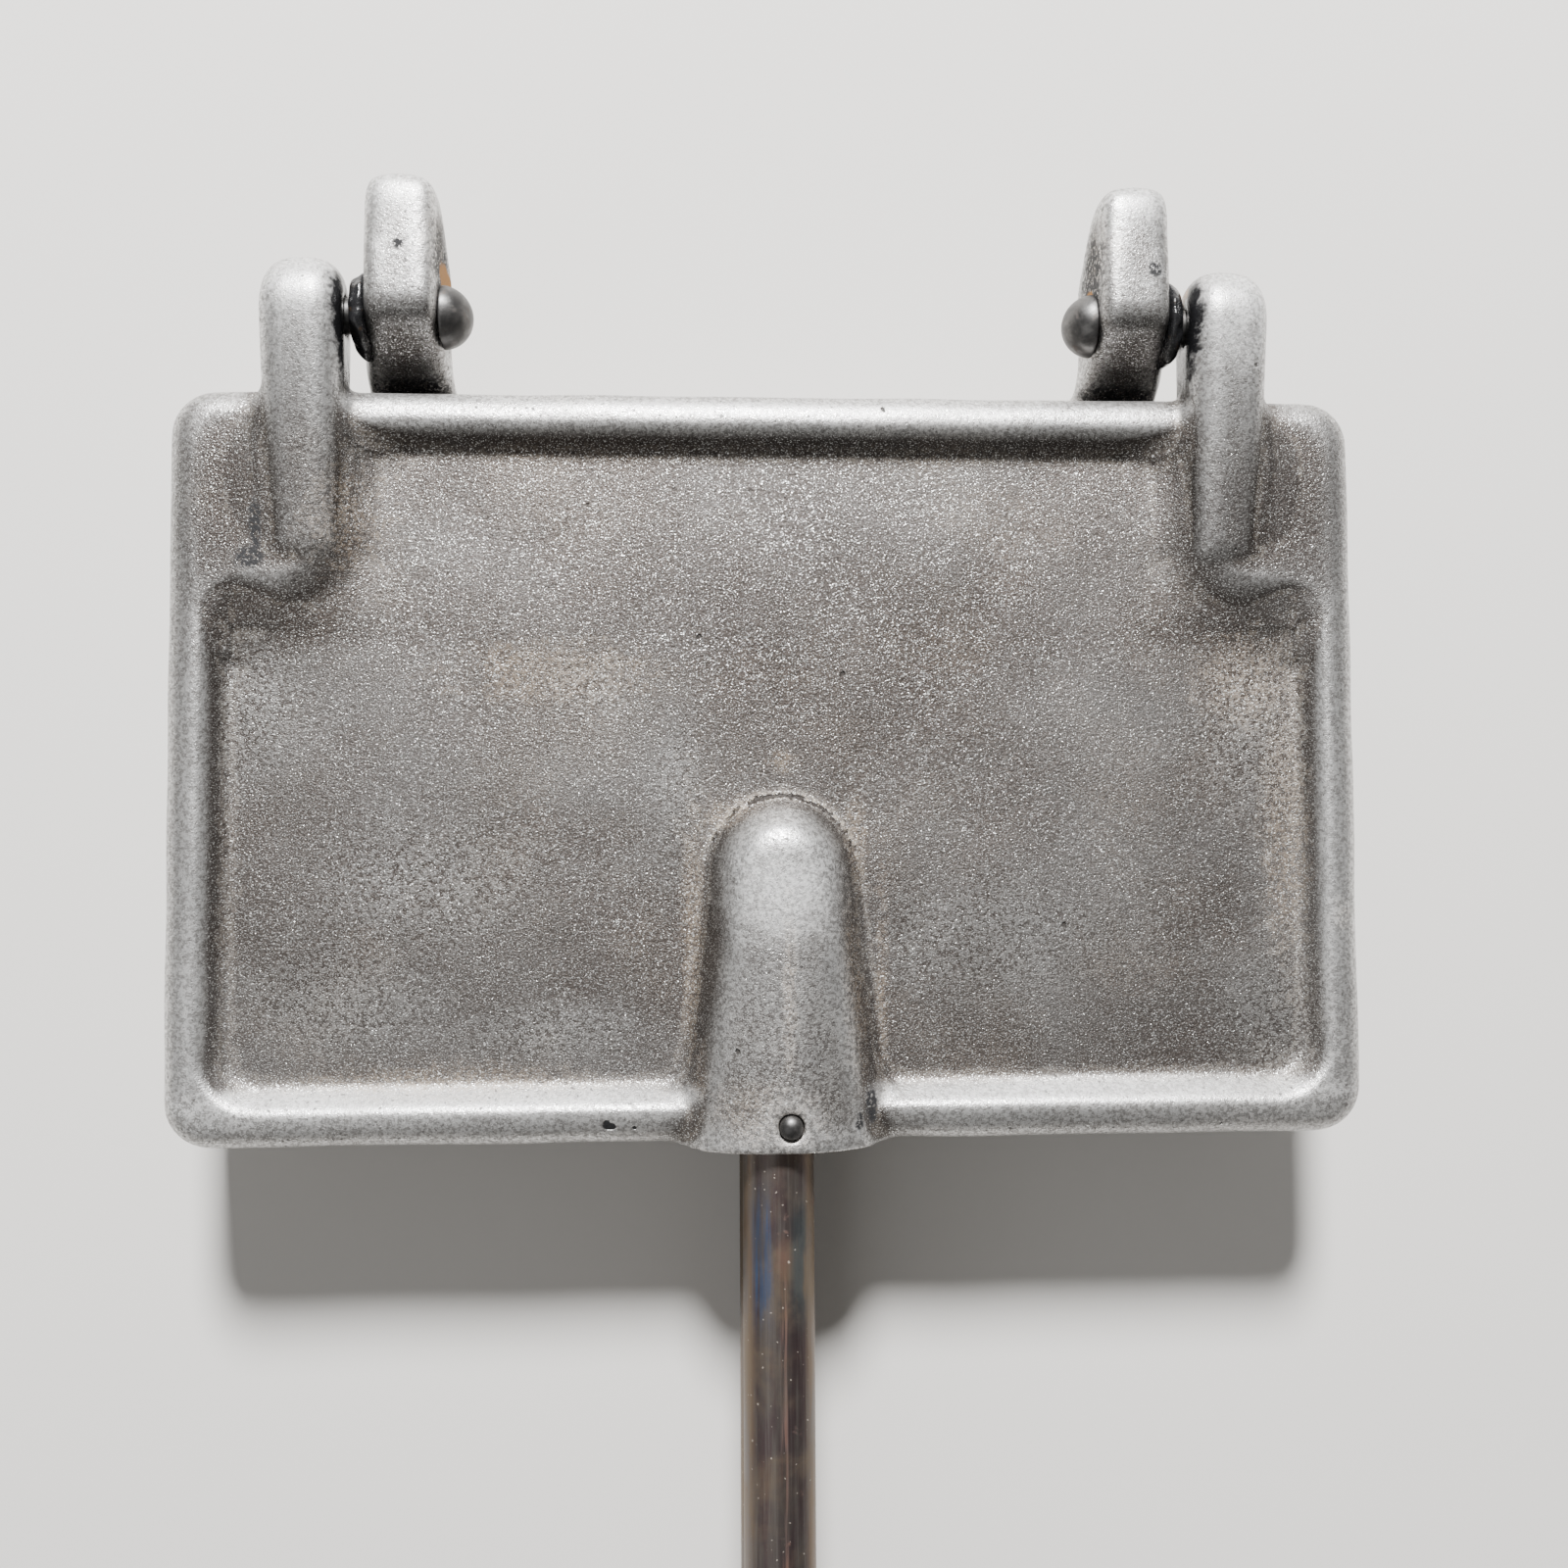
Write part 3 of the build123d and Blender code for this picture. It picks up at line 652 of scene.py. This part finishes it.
# Old bare bar: lengthwise streaks, straw and blue temper colours, a little rust and paint flecks, and a painted
# warm reflection along both edges
def makeRodSteel():
    material, where, shader = newMaterial("rodSteel")
    given = rodFinish
    fine = drawnNoise(where, *given["streaks"])[0]
    wide = drawnNoise(where, *given["broad"])[0]
    apart = addNode("SeparateXYZ", {0: where}).outputs
    side, along = minus(apart[0], rodPlaces["middle"] * mm), apart[1]

    def near(value, label):
        return between(value, *metres(rodPlaces[label]))

    def broken(value, label):
        return between(value, *rodBreaks[label])

    band = times(near(along, "bandFront"), near(along, "bandBack"))
    blue = times(near(side, "blue"), band, minus(1.0, near(side, "blueEdge")), broken(fine, "blue"),
                 broken(wide, "blueWide"))
    teal = times(near(side, "tealIn"), near(side, "tealOut"), band, broken(wide, "teal"))
    # painted reflection: a warm tan along both edges of the bar
    tan = times(near(calc("ABSOLUTE", side), "tan"), given["tanShare"])
    rust = near(calc("ABSOLUTE", minus(side, rodPlaces["rustMiddle"] * mm)), "rust")
    rust = times(rust, near(along, "rustAlong"), broken(wide, "rustWide"), broken(fine, "rust"))
    rust = most(rust, cloudAt(where, *given["spots"]))
    cloud, flecks = cloudAt(where, *given["cloud"]), useGroup(pitMarks, where, **given["flecks"])[0]
    paint(shader, given, dict(
        fine=fine, purple=broken(wide, "purple"), bright=broken(fine, "bright"), cloud=cloud, blue=blue,
        teal=teal, rose=markAt(where, *rodPlaces["rose"]), tan=times(tan, broken(wide, "tan")), rust=rust,
        flecks=flecks, dull=most(rust, flecks, times(cloud, given["dullCloud"]))))
    setBump(shader, plus(fine, times(rust, given["rustDepth"])), given["depth"])
    return material


rivetFinish = {
    "dark": (0.085, 0.083, 0.082),
    "bright": (0.19, 0.185, 0.18),
    "rusty": (0.07, 0.045, 0.032),
    "dents": 420.0,
    "grain": (2600.0, 2.0),
    "cloud": (300.0, 0.42, 0.64),
    "rust": (420.0, 0.56, 0.72),
    "grainDepth": 0.25,
    "depth": 0.05 * mm,
    "colour": ("dark", [("cloud", 0.6, "bright"), ("rust", 0.55, "rusty")]),
    "values": {"Roughness": (0.34, [("grain", 0.5), ("rust", 0.62)]), "Metallic": (0.97, [("rust", 0.5)])},
}


# Dark oiled steel with hammer dents and brighter rubbed patches
def makeRivetSteel():
    material, where, shader = newMaterial("rivetSteel")
    given = rivetFinish
    dents = addNode("TexVoronoi", {0: where, "Scale": given["dents"]}, feature="SMOOTH_F1")
    masks = {label: cloudAt(where, *given[label]) for label in ("cloud", "rust")}
    masks["grain"] = noise(where, *given["grain"])[0]
    paint(shader, given, masks)
    height = plus(dents.outputs["Distance"], times(masks["grain"], given["grainDepth"]))
    setBump(shader, height, given["depth"])
    return material


ferruleFinish = {
    "steel": (0.44, 0.43, 0.41),
    "tarnish": (0.17, 0.13, 0.09),
    "scratch": (0.7, 0.69, 0.67),
    "rings": ((30, 1700, 30), 2.0, 0.6),
    "cloud": (130.0, 0.44, 0.64),
    "crossing": dict(Turn=0.7, Long=240.0, Share=0.25),
    "depth": 0.03 * mm,
    "colour": ("steel", [("cloud", 0.7, "tarnish"), ("crossing", 0.4, "scratch")]),
    "values": {"Roughness": (0.22, [("rings", 0.4), ("cloud", 0.58)]), "Metallic": (1.0, [])},
}


# Drawn thin steel, turned marks round it, tarnish in clouds
def makeFerruleSteel():
    material, where, shader = newMaterial("ferruleSteel")
    given = ferruleFinish
    rings = drawnNoise(where, *given["rings"])[0]
    paint(shader, given, dict(rings=rings, cloud=cloudAt(where, *given["cloud"]),
                              crossing=useGroup(scratches, where, **given["crossing"])[0]))
    setBump(shader, rings, given["depth"])
    return material


woodFinish = {
    "light": (0.32, 0.155, 0.062),
    "dark": (0.105, 0.04, 0.016),
    "pale": (0.46, 0.275, 0.135),
    "black": (0.035, 0.014, 0.007),
    "rings": 600.0,                        # year rings in a metre
    "drift": ((26, 5, 26), 2.0),
    "bend": (0.012, 0, 0.012),             # how far the drift bends the rings
    "lean": (1.0, 0.05, 1.0),
    "late": ((0.35, 0.92), (1.0, 0.94)),   # dark part of a year ring
    "held": ((-252, -222), (-176, -206)),  # where hands have worn it, along Y in millimetres
    "patch": (45.0, 0.42, 0.66),
    "worn": (0.25, 0.6),
    "scorched": (-176, -166),
    "fibre": ((2100, 70, 2100), 3.0, 0.6),
    "pores": ((2600, 190, 2600), 1.0),
    "poreEdge": (0.64, 0.72),
    "fibreDepth": 0.35,
    "depth": 0.06 * mm,
    "colour": ("light", [("late", 0.75, "dark"), ("fibre", 0.45, "dark"), ("worn", 1.0, "pale"),
                         ("pores", 0.7, "black"), ("scorched", 0.55, "black")]),
    "values": {"Roughness": (0.3, [("worn", 0.55), ("pores", 0.75)]), "Coat Roughness": (0.18, []),
               "Coat Weight": (0.55, [("worn", 0.05)])},
}


# Turned hardwood under an old brown varnish; core is a point on the tree's own axis, beside the grip
def makeGripWood(name, core):
    material, where, shader = newMaterial(name)
    given = woodFinish
    drift = drawnNoise(where, *given["drift"])["Color"]
    bent = calcVector("ADD", where, stretched(drift, given["bend"]))
    flat = stretched(calcVector("SUBTRACT", bent, core), given["lean"])
    ring = calc("FRACT", times(calcVector("LENGTH", flat), given["rings"]))
    fibre = drawnNoise(where, *given["fibre"])[0]
    pores = between(drawnNoise(where, *given["pores"])[0], *given["poreEdge"])
    along = addNode("SeparateXYZ", {0: where}).outputs[1]
    held = window(along, *map(metres, given["held"]))
    worn = times(held, ramp(cloudAt(where, *given["patch"]), *given["worn"]))
    paint(shader, given, dict(late=window(ring, *given["late"]), fibre=fibre, worn=worn, pores=pores,
                              scorched=between(along, *metres(given["scorched"]))))
    setBump(shader, minus(times(fibre, given["fibreDepth"]), pores), given["depth"])
    return material


greaseFinish = {
    "black": castFinish["black"],
    "brown": (0.05, 0.03, 0.015),
    "film": (700.0, 3.0, 0.6),
    "rusty": (0.62, 0.75),
    "depth": 0.25 * mm,
    "colour": ("black", [("rusty", 1.0, "brown")]),
    "values": {"Roughness": (0.12, [("film", 0.42)])},
}


def makeBlackGrease():
    material, where, shader = newMaterial("blackGrease")
    film = noise(where, *greaseFinish["film"])[0]
    paint(shader, greaseFinish, {"film": film, "rusty": between(film, *greaseFinish["rusty"])})
    setBump(shader, film, greaseFinish["depth"])
    return material


floorFinish = {
    "paper": (0.74, 0.72, 0.69),
    "dark": (0.5, 0.48, 0.45),
    "grain": (900.0, 2.0),
    "colour": ("paper", [("weave", 0.06, "dark")]),
    "values": {"Roughness": (0.85, [])},
}


def makeFloorPaper():
    material, where, shader = newMaterial("floorPaper")
    paint(shader, floorFinish, {"weave": noise(where, *floorFinish["grain"])[0]})
    return material


rodSteel = makeRodSteel()
rivetSteel = makeRivetSteel()
ferruleSteel = makeFerruleSteel()
blackGrease = makeBlackGrease()
upperWood = makeGripWood("gripWoodUpper", (0.021, -0.21, 0.06))
lowerWood = makeGripWood("gripWoodLower", (-0.019, -0.21, -0.012))
print("steel and wood are mixed")


# Castings
castShape = {
    "voxel": 0.72,           # size of the skin's squares before it is thinned
    "smoothing": 6,
    "wave": 0.22,            # depth of the hand-made unevenness
    "waveLengths": (17.0, 46.0),
    "waves": 14,
    "triangles": 186000,
    "boreRadius": 3.45,      # kept clear round the rivets
    "hinge": (241.8, 35.0),  # Y and Z of the rivets
    "meeting": 23.0,
    "waveFade": (2.0, 4.0),  # no waves this near the meeting plane or the feet, then all of them so far on
    "footFade": (0.6, 2.0),
    "crest": (90, 0.8),      # rounds of smoothing, and the height in millimetres that counts as 1
    "fold": (14, 0.35),
    "farthest": 4.0,         # marks are not measured beyond so many reaches
}

# Where the casting runs softly together: centre, reach, rounds of smoothing, whether only hollows are filled
softPlaces = {
    "upper_plate": [((94, 205, 39), (15, 26, 14), 500, True), ((73, 211, 38), (9, 16, 11), 200, True),
                    ((84, 189, 36), (20, 12, 10), 260, True), ((14, 100, 36), (8, 12, 9), 160, True),
                    ((-11, 100, 36), (8, 12, 9), 160, True), ((83, 250, 36), (12, 10, 12), 10, False)],
    "lower_plate": [((66, 222, 6), (12, 12, 8), 80, True), ((66.5, 263, 42), (11, 13, 13), 30, False)],
}


def vectorsOf(items, key):
    values = np.empty(len(items) * 3, np.float32)
    items.foreach_get(key, values)
    return values.reshape(-1, 3).astype(float)


# Each point moves half way to the middle of its neighbours, some rounds long
def relaxed(places, pairs, rounds):
    count = np.maximum(1, np.bincount(pairs.ravel(), minlength=len(places)))[:, None]
    for step in range(rounds):
        total = np.stack([np.bincount(pairs[:, 0], places[pairs[:, 1], axis], len(places))
                          + np.bincount(pairs[:, 1], places[pairs[:, 0], axis], len(places))
                          for axis in range(3)], axis=1)
        places = 0.5 * places + 0.5 * total / count
    return places


# Only the points near a soft place move, the most in its middle
def softened(places, normals, pairs, spots):
    for centre, reach, rounds, onlyFill in spots:
        for side in (1, -1) if abs(centre[0]) > 20 else (1,):     # what lies off the middle is on both sides
            middle = np.array((centre[0] * side, *centre[1:])) * mm
            far = np.linalg.norm((places - middle) / (np.array(reach) * mm), axis=1)
            near = far < 1.0
            weight = np.clip(1.4 * (1 - far[near] ** 2), 0, 1)[:, None]
            index = np.full(len(places), -1)
            index[near] = np.arange(near.sum())
            local = pairs[near[pairs].all(axis=1)]
            local = index[local]
            moved = places[near]
            for step in range(rounds):
                moved = moved + weight * (relaxed(moved, local, 1) - moved)
            if onlyFill:
                outwards = ((moved - places[near]) * normals[near]).sum(axis=1)[:, None]
                moved = places[near] + normals[near] * np.maximum(outwards, 0)
            places[near] = moved
    return places


# How far each point is from the nearest mark, in lengths of that mark's reach
def nearestMark(places, marks):
    nearest = np.full(len(places), castShape["farthest"])
    for centre, reach in marks:
        far = np.linalg.norm((places / mm - np.array(centre)) / np.array(reach), axis=1)
        nearest = np.minimum(nearest, far)
    return nearest


def setAttribute(mesh, label, values):
    mesh.attributes.new(label, "FLOAT", "POINT").data.foreach_set("value", values.astype(np.float32))


def applyModifiers(piece):
    seen = piece.evaluated_get(bpy.context.evaluated_depsgraph_get())
    shaped = bpy.data.meshes.new_from_object(seen)
    piece.modifiers.clear()
    piece.data = shaped


def mergedCopy(nodeName, name):
    piece = bpy.data.objects.new(name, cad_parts[nodeName].data.copy())
    bpy.context.scene.collection.objects.link(piece)
    piece.data.materials.clear()
    shape = bmesh.new()
    shape.from_mesh(piece.data)
    bmesh.ops.remove_doubles(shape, verts=shape.verts, dist=1e-6)
    shape.to_mesh(piece.data)
    shape.free()
    return piece


# Long shallow waves that only go inwards, none at the meeting faces and the feet
def roughen(places, normals, seed):
    chance = np.random.default_rng(seed)
    height = np.zeros(len(places))
    for wave in range(castShape["waves"]):
        length = chance.uniform(*castShape["waveLengths"]) * mm
        heading = chance.normal(size=3)
        heading *= 2 * math.pi / length / np.linalg.norm(heading)
        height += np.sin(places @ heading + chance.uniform(0, 2 * math.pi))
    height = np.clip(0.5 + height / (2.2 * math.sqrt(castShape["waves"])), 0, 1)
    (clear, full), (footClear, footFull) = castShape["waveFade"], castShape["footFade"]
    fade = np.clip((np.abs(places[:, 2] / mm - castShape["meeting"]) - clear) / full, 0, 1)
    fade *= np.clip((places[:, 2] / mm - footClear) / footFull, 0, 1)
    return places - normals * (height * fade * castShape["wave"] * mm)[:, None]


# The skin round each rivet is pushed out to a clean round hole
def openBores(places):
    away = places[:, 1:] - np.array(castShape["hinge"]) * mm
    far = np.linalg.norm(away, axis=1)
    radius = castShape["boreRadius"] * mm
    near = (far < radius) & (far > 1e-6)
    places[near, 1:] += away[near] * (radius / far[near] - 1)[:, None]
    return places


# One closed skin of even squares, smoothed
def growSkin(piece):
    skin = piece.modifiers.new("skin", "REMESH")
    skin.mode = "VOXEL"
    skin.voxel_size = castShape["voxel"] * mm
    applyModifiers(piece)
    shape = bmesh.new()
    shape.from_mesh(piece.data)
    for step in range(castShape["smoothing"]):
        bmesh.ops.smooth_vert(shape, verts=shape.verts, factor=0.5, use_axis_x=True, use_axis_y=True,
                              use_axis_z=True)
    shape.to_mesh(piece.data)
    shape.free()


def movePoints(mesh, places):
    mesh.vertices.foreach_set("co", places.astype(np.float32).ravel())
    mesh.update()


def makeCasting(nodeName, name, body, material, marks, seed):
    piece = mergedCopy(nodeName, name)
    lowest, highest = (np.array(corner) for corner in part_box(nodeName))
    growSkin(piece)
    mesh = piece.data
    pairs = np.empty(len(mesh.edges) * 2, np.int32)
    mesh.edges.foreach_get("vertices", pairs)
    pairs = pairs.reshape(-1, 2)
    places = softened(vectorsOf(mesh.vertices, "co"), vectorsOf(mesh.vertex_normals, "vector"), pairs,
                      softPlaces[nodeName])
    movePoints(mesh, places)
    normals = vectorsOf(mesh.vertex_normals, "vector")
    for label in ("crest", "fold"):
        rounds, size = castShape[label]
        height = ((places - relaxed(places, pairs, rounds)) * normals).sum(axis=1)
        setAttribute(mesh, label, height / (size * mm))
    places = openBores(roughen(places, normals, seed))
    movePoints(mesh, np.clip(places, lowest, highest))

    thin = piece.modifiers.new("thin", "DECIMATE")
    thin.ratio = min(1.0, castShape["triangles"] / (2 * len(mesh.polygons)))
    applyModifiers(piece)
    piece.data.polygons.foreach_set("use_smooth", np.ones(len(piece.data.polygons), bool))
    places = vectorsOf(piece.data.vertices, "co")
    for kind in softEdges:
        setAttribute(piece.data, kind + "Mark", nearestMark(places, marks[kind]))
    piece.data.materials.append(material)
    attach(piece, body)
    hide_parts(nodeName)
    print(name, "has", len(piece.data.polygons), "faces")


makeCasting("upper_plate", "castUpper", "upper_half", castUpperMetal, upperMarks, 11)
makeCasting("lower_plate", "castLower", "lower_half", castLowerMetal, lowerMarks, 23)


# Turned pieces
cornerShape = {"segments": 3, "above": 28}     # for corners that turn by more degrees than this


# Spins a profile of (radius, distance along the axis), both in millimetres, from one end to the other
def turnedPiece(name, given, profile, place, turn):
    shape = bmesh.new()
    points = [shape.verts.new((radius * mm, 0, along * mm)) for radius, along in profile]
    lines = [shape.edges.new(pair) for pair in zip(points, points[1:])]
    bmesh.ops.spin(shape, geom=points + lines, cent=(0, 0, 0), axis=(0, 0, 1), angle=2 * math.pi,
                   steps=given["steps"], use_merge=True, use_duplicate=False)
    bmesh.ops.remove_doubles(shape, verts=shape.verts, dist=1e-7)
    bmesh.ops.recalc_face_normals(shape, faces=shape.faces)
    turned = Euler([math.radians(angle) for angle in turn]).to_matrix().to_4x4()
    bmesh.ops.transform(shape, matrix=Matrix.Translation(Vector(place) * mm) @ turned, verts=shape.verts)
    mesh = bpy.data.meshes.new(name)
    shape.to_mesh(mesh)
    shape.free()
    mesh.polygons.foreach_set("use_smooth", np.ones(len(mesh.polygons), bool))
    piece = bpy.data.objects.new(name, mesh)
    bpy.context.scene.collection.objects.link(piece)
    if "corner" in given:
        corners = piece.modifiers.new("corners", "BEVEL")
        corners.width = given["corner"] * mm
        corners.segments = cornerShape["segments"]
        corners.limit_method = "ANGLE"
        corners.angle_limit = math.radians(cornerShape["above"])
    return piece


def dress(piece, node, body, material):
    piece.data.materials.append(material)
    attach(piece, body)
    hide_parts(node)


# Points on a round cap, from its rim at base to its top
def domeProfile(radius, height, base, outwards, steps=12):
    ball = (radius ** 2 + height ** 2) / (2 * height)
    widest = math.asin(min(1.0, radius / ball)) if height <= ball else math.pi - math.asin(radius / ball)
    angles = [widest * (1 - step / steps) for step in range(steps + 1)]
    return [(max(0.0, ball * math.sin(angle)), base + outwards * (height - ball + ball * math.cos(angle)))
            for angle in angles]


# Along the rivet: 0 is the middle of the iron, the round head is inside the ear
rivetShape = {"headRadius": 5.6, "headHeight": 5.5, "headBase": 59.0, "shank": 3.17, "armFace": 90.0,
              "endRadius": 4.6, "endHeight": 0.85, "corner": 0.35, "steps": 72}


def makeRivet(side, name, node):
    given = rivetShape
    profile = domeProfile(given["headRadius"], given["headHeight"], given["headBase"], -1)[::-1]
    profile += [(given["shank"], given["headBase"]), (given["shank"], given["armFace"])]
    profile += domeProfile(given["endRadius"], given["endHeight"], given["armFace"], 1)
    piece = turnedPiece(name, given, profile, (0, *castShape["hinge"]), (0, 90 * side, 0))
    dress(piece, node, "lower_half", rivetSteel)


makeRivet(-1, "rivetLeft", "hinge_rivet_left")
makeRivet(1, "rivetRight", "hinge_rivet_right")

# Old black grease round the rivet, between the ear and the arm
greaseShape = {
    "outline": [(7.6, 71.5), (8.6, 72.0), (8.2, 73.05), (7.2, 74.2), (5.6, 74.6)],
    "firm": 5.16,          # only what lies further out than this is lumpy
    "lumps": 1.5,
    "steps": 40,
    "seed": 7,
}


def makeGrease(side, name):
    given = greaseShape
    chance = random.Random(given["seed"] + side)
    outline, shank = given["outline"], rivetShape["shank"]
    profile = [(shank, outline[0][1]), *outline, (shank, outline[-1][1])]
    piece = turnedPiece(name, given, profile, (0, *castShape["hinge"]), (0, 90 * side, 0))
    axis = Vector((0, *castShape["hinge"])) * mm
    for vertex in piece.data.vertices:
        away = vertex.co - axis
        away.x = 0
        if away.length > given["firm"] * mm:
            vertex.co -= away.normalized() * chance.random() * given["lumps"] * mm
    rounder = piece.modifiers.new("rounder", "SUBSURF")
    rounder.levels = rounder.render_levels = 1
    piece.data.materials.append(blackGrease)
    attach(piece, "lower_half")


makeGrease(-1, "greaseLeft")
makeGrease(1, "greaseRight")

# Both rods and grips lie along Y; gripBack, rodBack and rodFront are Y, other distances start at gripBack
handle = {"axisX": 0.5, "upperZ": 35.0, "lowerZ": 11.0, "gripBack": -151.0, "rodRadius": 6.33,
          "rodBack": 136.6, "rodFront": -250.0, "chamfer": 0.8, "plainEnd": 12, "points": 30, "steps": 96}

gripShape = {"length": 115.0, "widest": 11.0, "waist": 1.7, "tail": 2.4, "swell": 0.55, "endRound": 3.5,
             "grooves": (20.6, 23.2, 106.4), "grooveWidth": 0.55, "grooveDepth": 0.42, "shoulder": 0.7,
             "shoulderFall": 0.28, "shoulderLength": 0.35, "mouth": 2.0, "fit": 0.05, "points": 44,
             "endPoints": 12, "endSquareness": 0.62, "corner": 0.18, "steps": 112}

ferruleShape = {"radius": 8.7, "length": 16.0, "wall": 0.9, "bead": 0.18, "beadAt": 14.2, "beadHalf": 1.1,
                "beadPoints": 11, "fit": 0.06, "edge": [(0.5, 0.0), (0.12, 0.3), (0.0, 0.9)],
                "corner": 0.12, "steps": 96}


def onHandle(name, given, profile, back, height):
    return turnedPiece(name, given, profile, (handle["axisX"], back, height), (90, 0, 0))


def gripRadius(along):
    given = gripShape
    start, end = ferruleShape["length"], given["length"] - given["endRound"]
    middle = start + given["swell"] * (given["length"] - start)
    if along < middle:
        return given["widest"] - given["waist"] * ((middle - along) / (middle - start)) ** 2
    return given["widest"] - given["tail"] * ((along - middle) / (end - middle)) ** 2


def makeGrip(name, node, body, height, material):
    given = gripShape
    start, end = ferruleShape["length"], given["length"] - given["endRound"]
    along = list(np.linspace(start, end, given["points"]))
    for groove in given["grooves"]:
        along += [groove - given["grooveWidth"], groove, groove + given["grooveWidth"]]
    along.sort()
    bore = handle["rodRadius"] + given["fit"]
    profile = [(bore, start - given["mouth"]), (bore, start), (gripRadius(start) - given["shoulder"], start)]
    for place in along:
        cut = given["grooveDepth"] if place in given["grooves"] else 0.0
        fall, back = (given["shoulderFall"], given["shoulderLength"]) if place == start else (0.0, 0.0)
        profile.append((gripRadius(place) - cut - fall, place + back))
    last = gripRadius(end)
    for step in range(1, given["endPoints"] + 1):
        angle = math.pi / 2 * step / given["endPoints"]
        profile.append((last * math.cos(angle) ** given["endSquareness"],
                        end + given["endRound"] * math.sin(angle)))
    piece = onHandle(name, given, profile, handle["gripBack"], height)
    dress(piece, node, body, material)


def makeFerrule(name, node, body, height):
    given = ferruleShape
    outer, bore, wall = given["radius"], handle["rodRadius"] + given["fit"], given["wall"]
    profile = [(bore, wall), (bore, 0.0)] + [(outer - inwards, along) for inwards, along in given["edge"]]
    half = given["beadHalf"]
    for place in np.linspace(given["beadAt"] - half, given["beadAt"] + half, given["beadPoints"]):
        swell = math.cos((place - given["beadAt"]) / half * math.pi / 2) ** 2
        profile.append((outer - given["bead"] * (1 - swell), place))
    profile += [(outer - given["bead"], given["length"]), (outer - wall, given["length"])]
    profile += [(outer - wall, wall), (bore, wall)]
    piece = onHandle(name, given, profile, handle["gripBack"], height)
    dress(piece, node, body, ferruleSteel)


def makeRod(name, node, body, height):
    radius, chamfer, plain = handle["rodRadius"], handle["chamfer"], handle["plainEnd"]
    length = handle["rodBack"] - handle["rodFront"]
    profile = [(0, 0), (radius - chamfer, 0), (radius, chamfer)]
    profile += [(radius, place) for place in np.linspace(plain, length - plain, handle["points"])]
    profile += [(radius, length - chamfer), (radius - chamfer, length), (0, length)]
    piece = onHandle(name, handle, profile, handle["rodBack"], height)
    dress(piece, node, body, rodSteel)


# The pin that holds the rod in its socket, from the far side of the rod to its dome over the boss
pinShape = {"radius": 2.05, "bottom": 30.05, "roof": 44.2, "dome": 1.1, "place": (2.4, 98.4), "steps": 48}


def makeHandlePin(name, node, body, upwards):
    given = pinShape
    profile = [(0, given["bottom"]), (given["radius"], given["bottom"])]
    profile += domeProfile(given["radius"], given["dome"], given["roof"], 1)
    if not upwards:     # the lower half's pin points down, mirrored in the meeting plane
        profile = [(radius, 2 * castShape["meeting"] - along) for radius, along in profile]
    piece = turnedPiece(name, given, profile, (*given["place"], 0), (0, 0, 0))
    dress(piece, node, body, rivetSteel)


crossPin = {"radius": 1.6, "half": 8.7, "dome": 0.25, "along": 8.0, "domePoints": 6, "steps": 40}


def makeCrossPin(name, node, body, height):
    given = crossPin
    base = given["half"] - given["dome"]
    profile = domeProfile(given["radius"], given["dome"], -base, -1, given["domePoints"])[::-1]
    profile += domeProfile(given["radius"], given["dome"], base, 1, given["domePoints"])
    place = (handle["axisX"], handle["gripBack"] - given["along"], height)
    piece = turnedPiece(name, given, profile, place, (0, 90, 0))
    dress(piece, node, body, rivetSteel)


for half, wood in (("upper", upperWood), ("lower", lowerWood)):
    body = half + "_half"
    height = handle[half + "Z"]
    makeRod(half + "Rod", half + "_handle_rod", body, height)
    makeHandlePin(half + "HandlePin", half + "_handle_pin", body, half == "upper")
    makeGrip(half + "Grip", half + "_grip", body, height, wood)
    makeFerrule(half + "Ferrule", half + "_ferrule", body, height)
    makeCrossPin(half + "GripPin", half + "_grip_pin", body, height)
print("turned pieces are done")


# Floor
floorShape = {"half": 9, "segments": 2}     # metres


def makeFloor():
    shape = bmesh.new()
    bmesh.ops.create_grid(shape, x_segments=floorShape["segments"], y_segments=floorShape["segments"],
                          size=floorShape["half"])
    mesh = bpy.data.meshes.new("floor")
    shape.to_mesh(mesh)
    shape.free()
    floor = bpy.data.objects.new("floor", mesh)
    floor.data.materials.append(makeFloorPaper())
    bpy.context.scene.collection.objects.link(floor)


makeFloor()
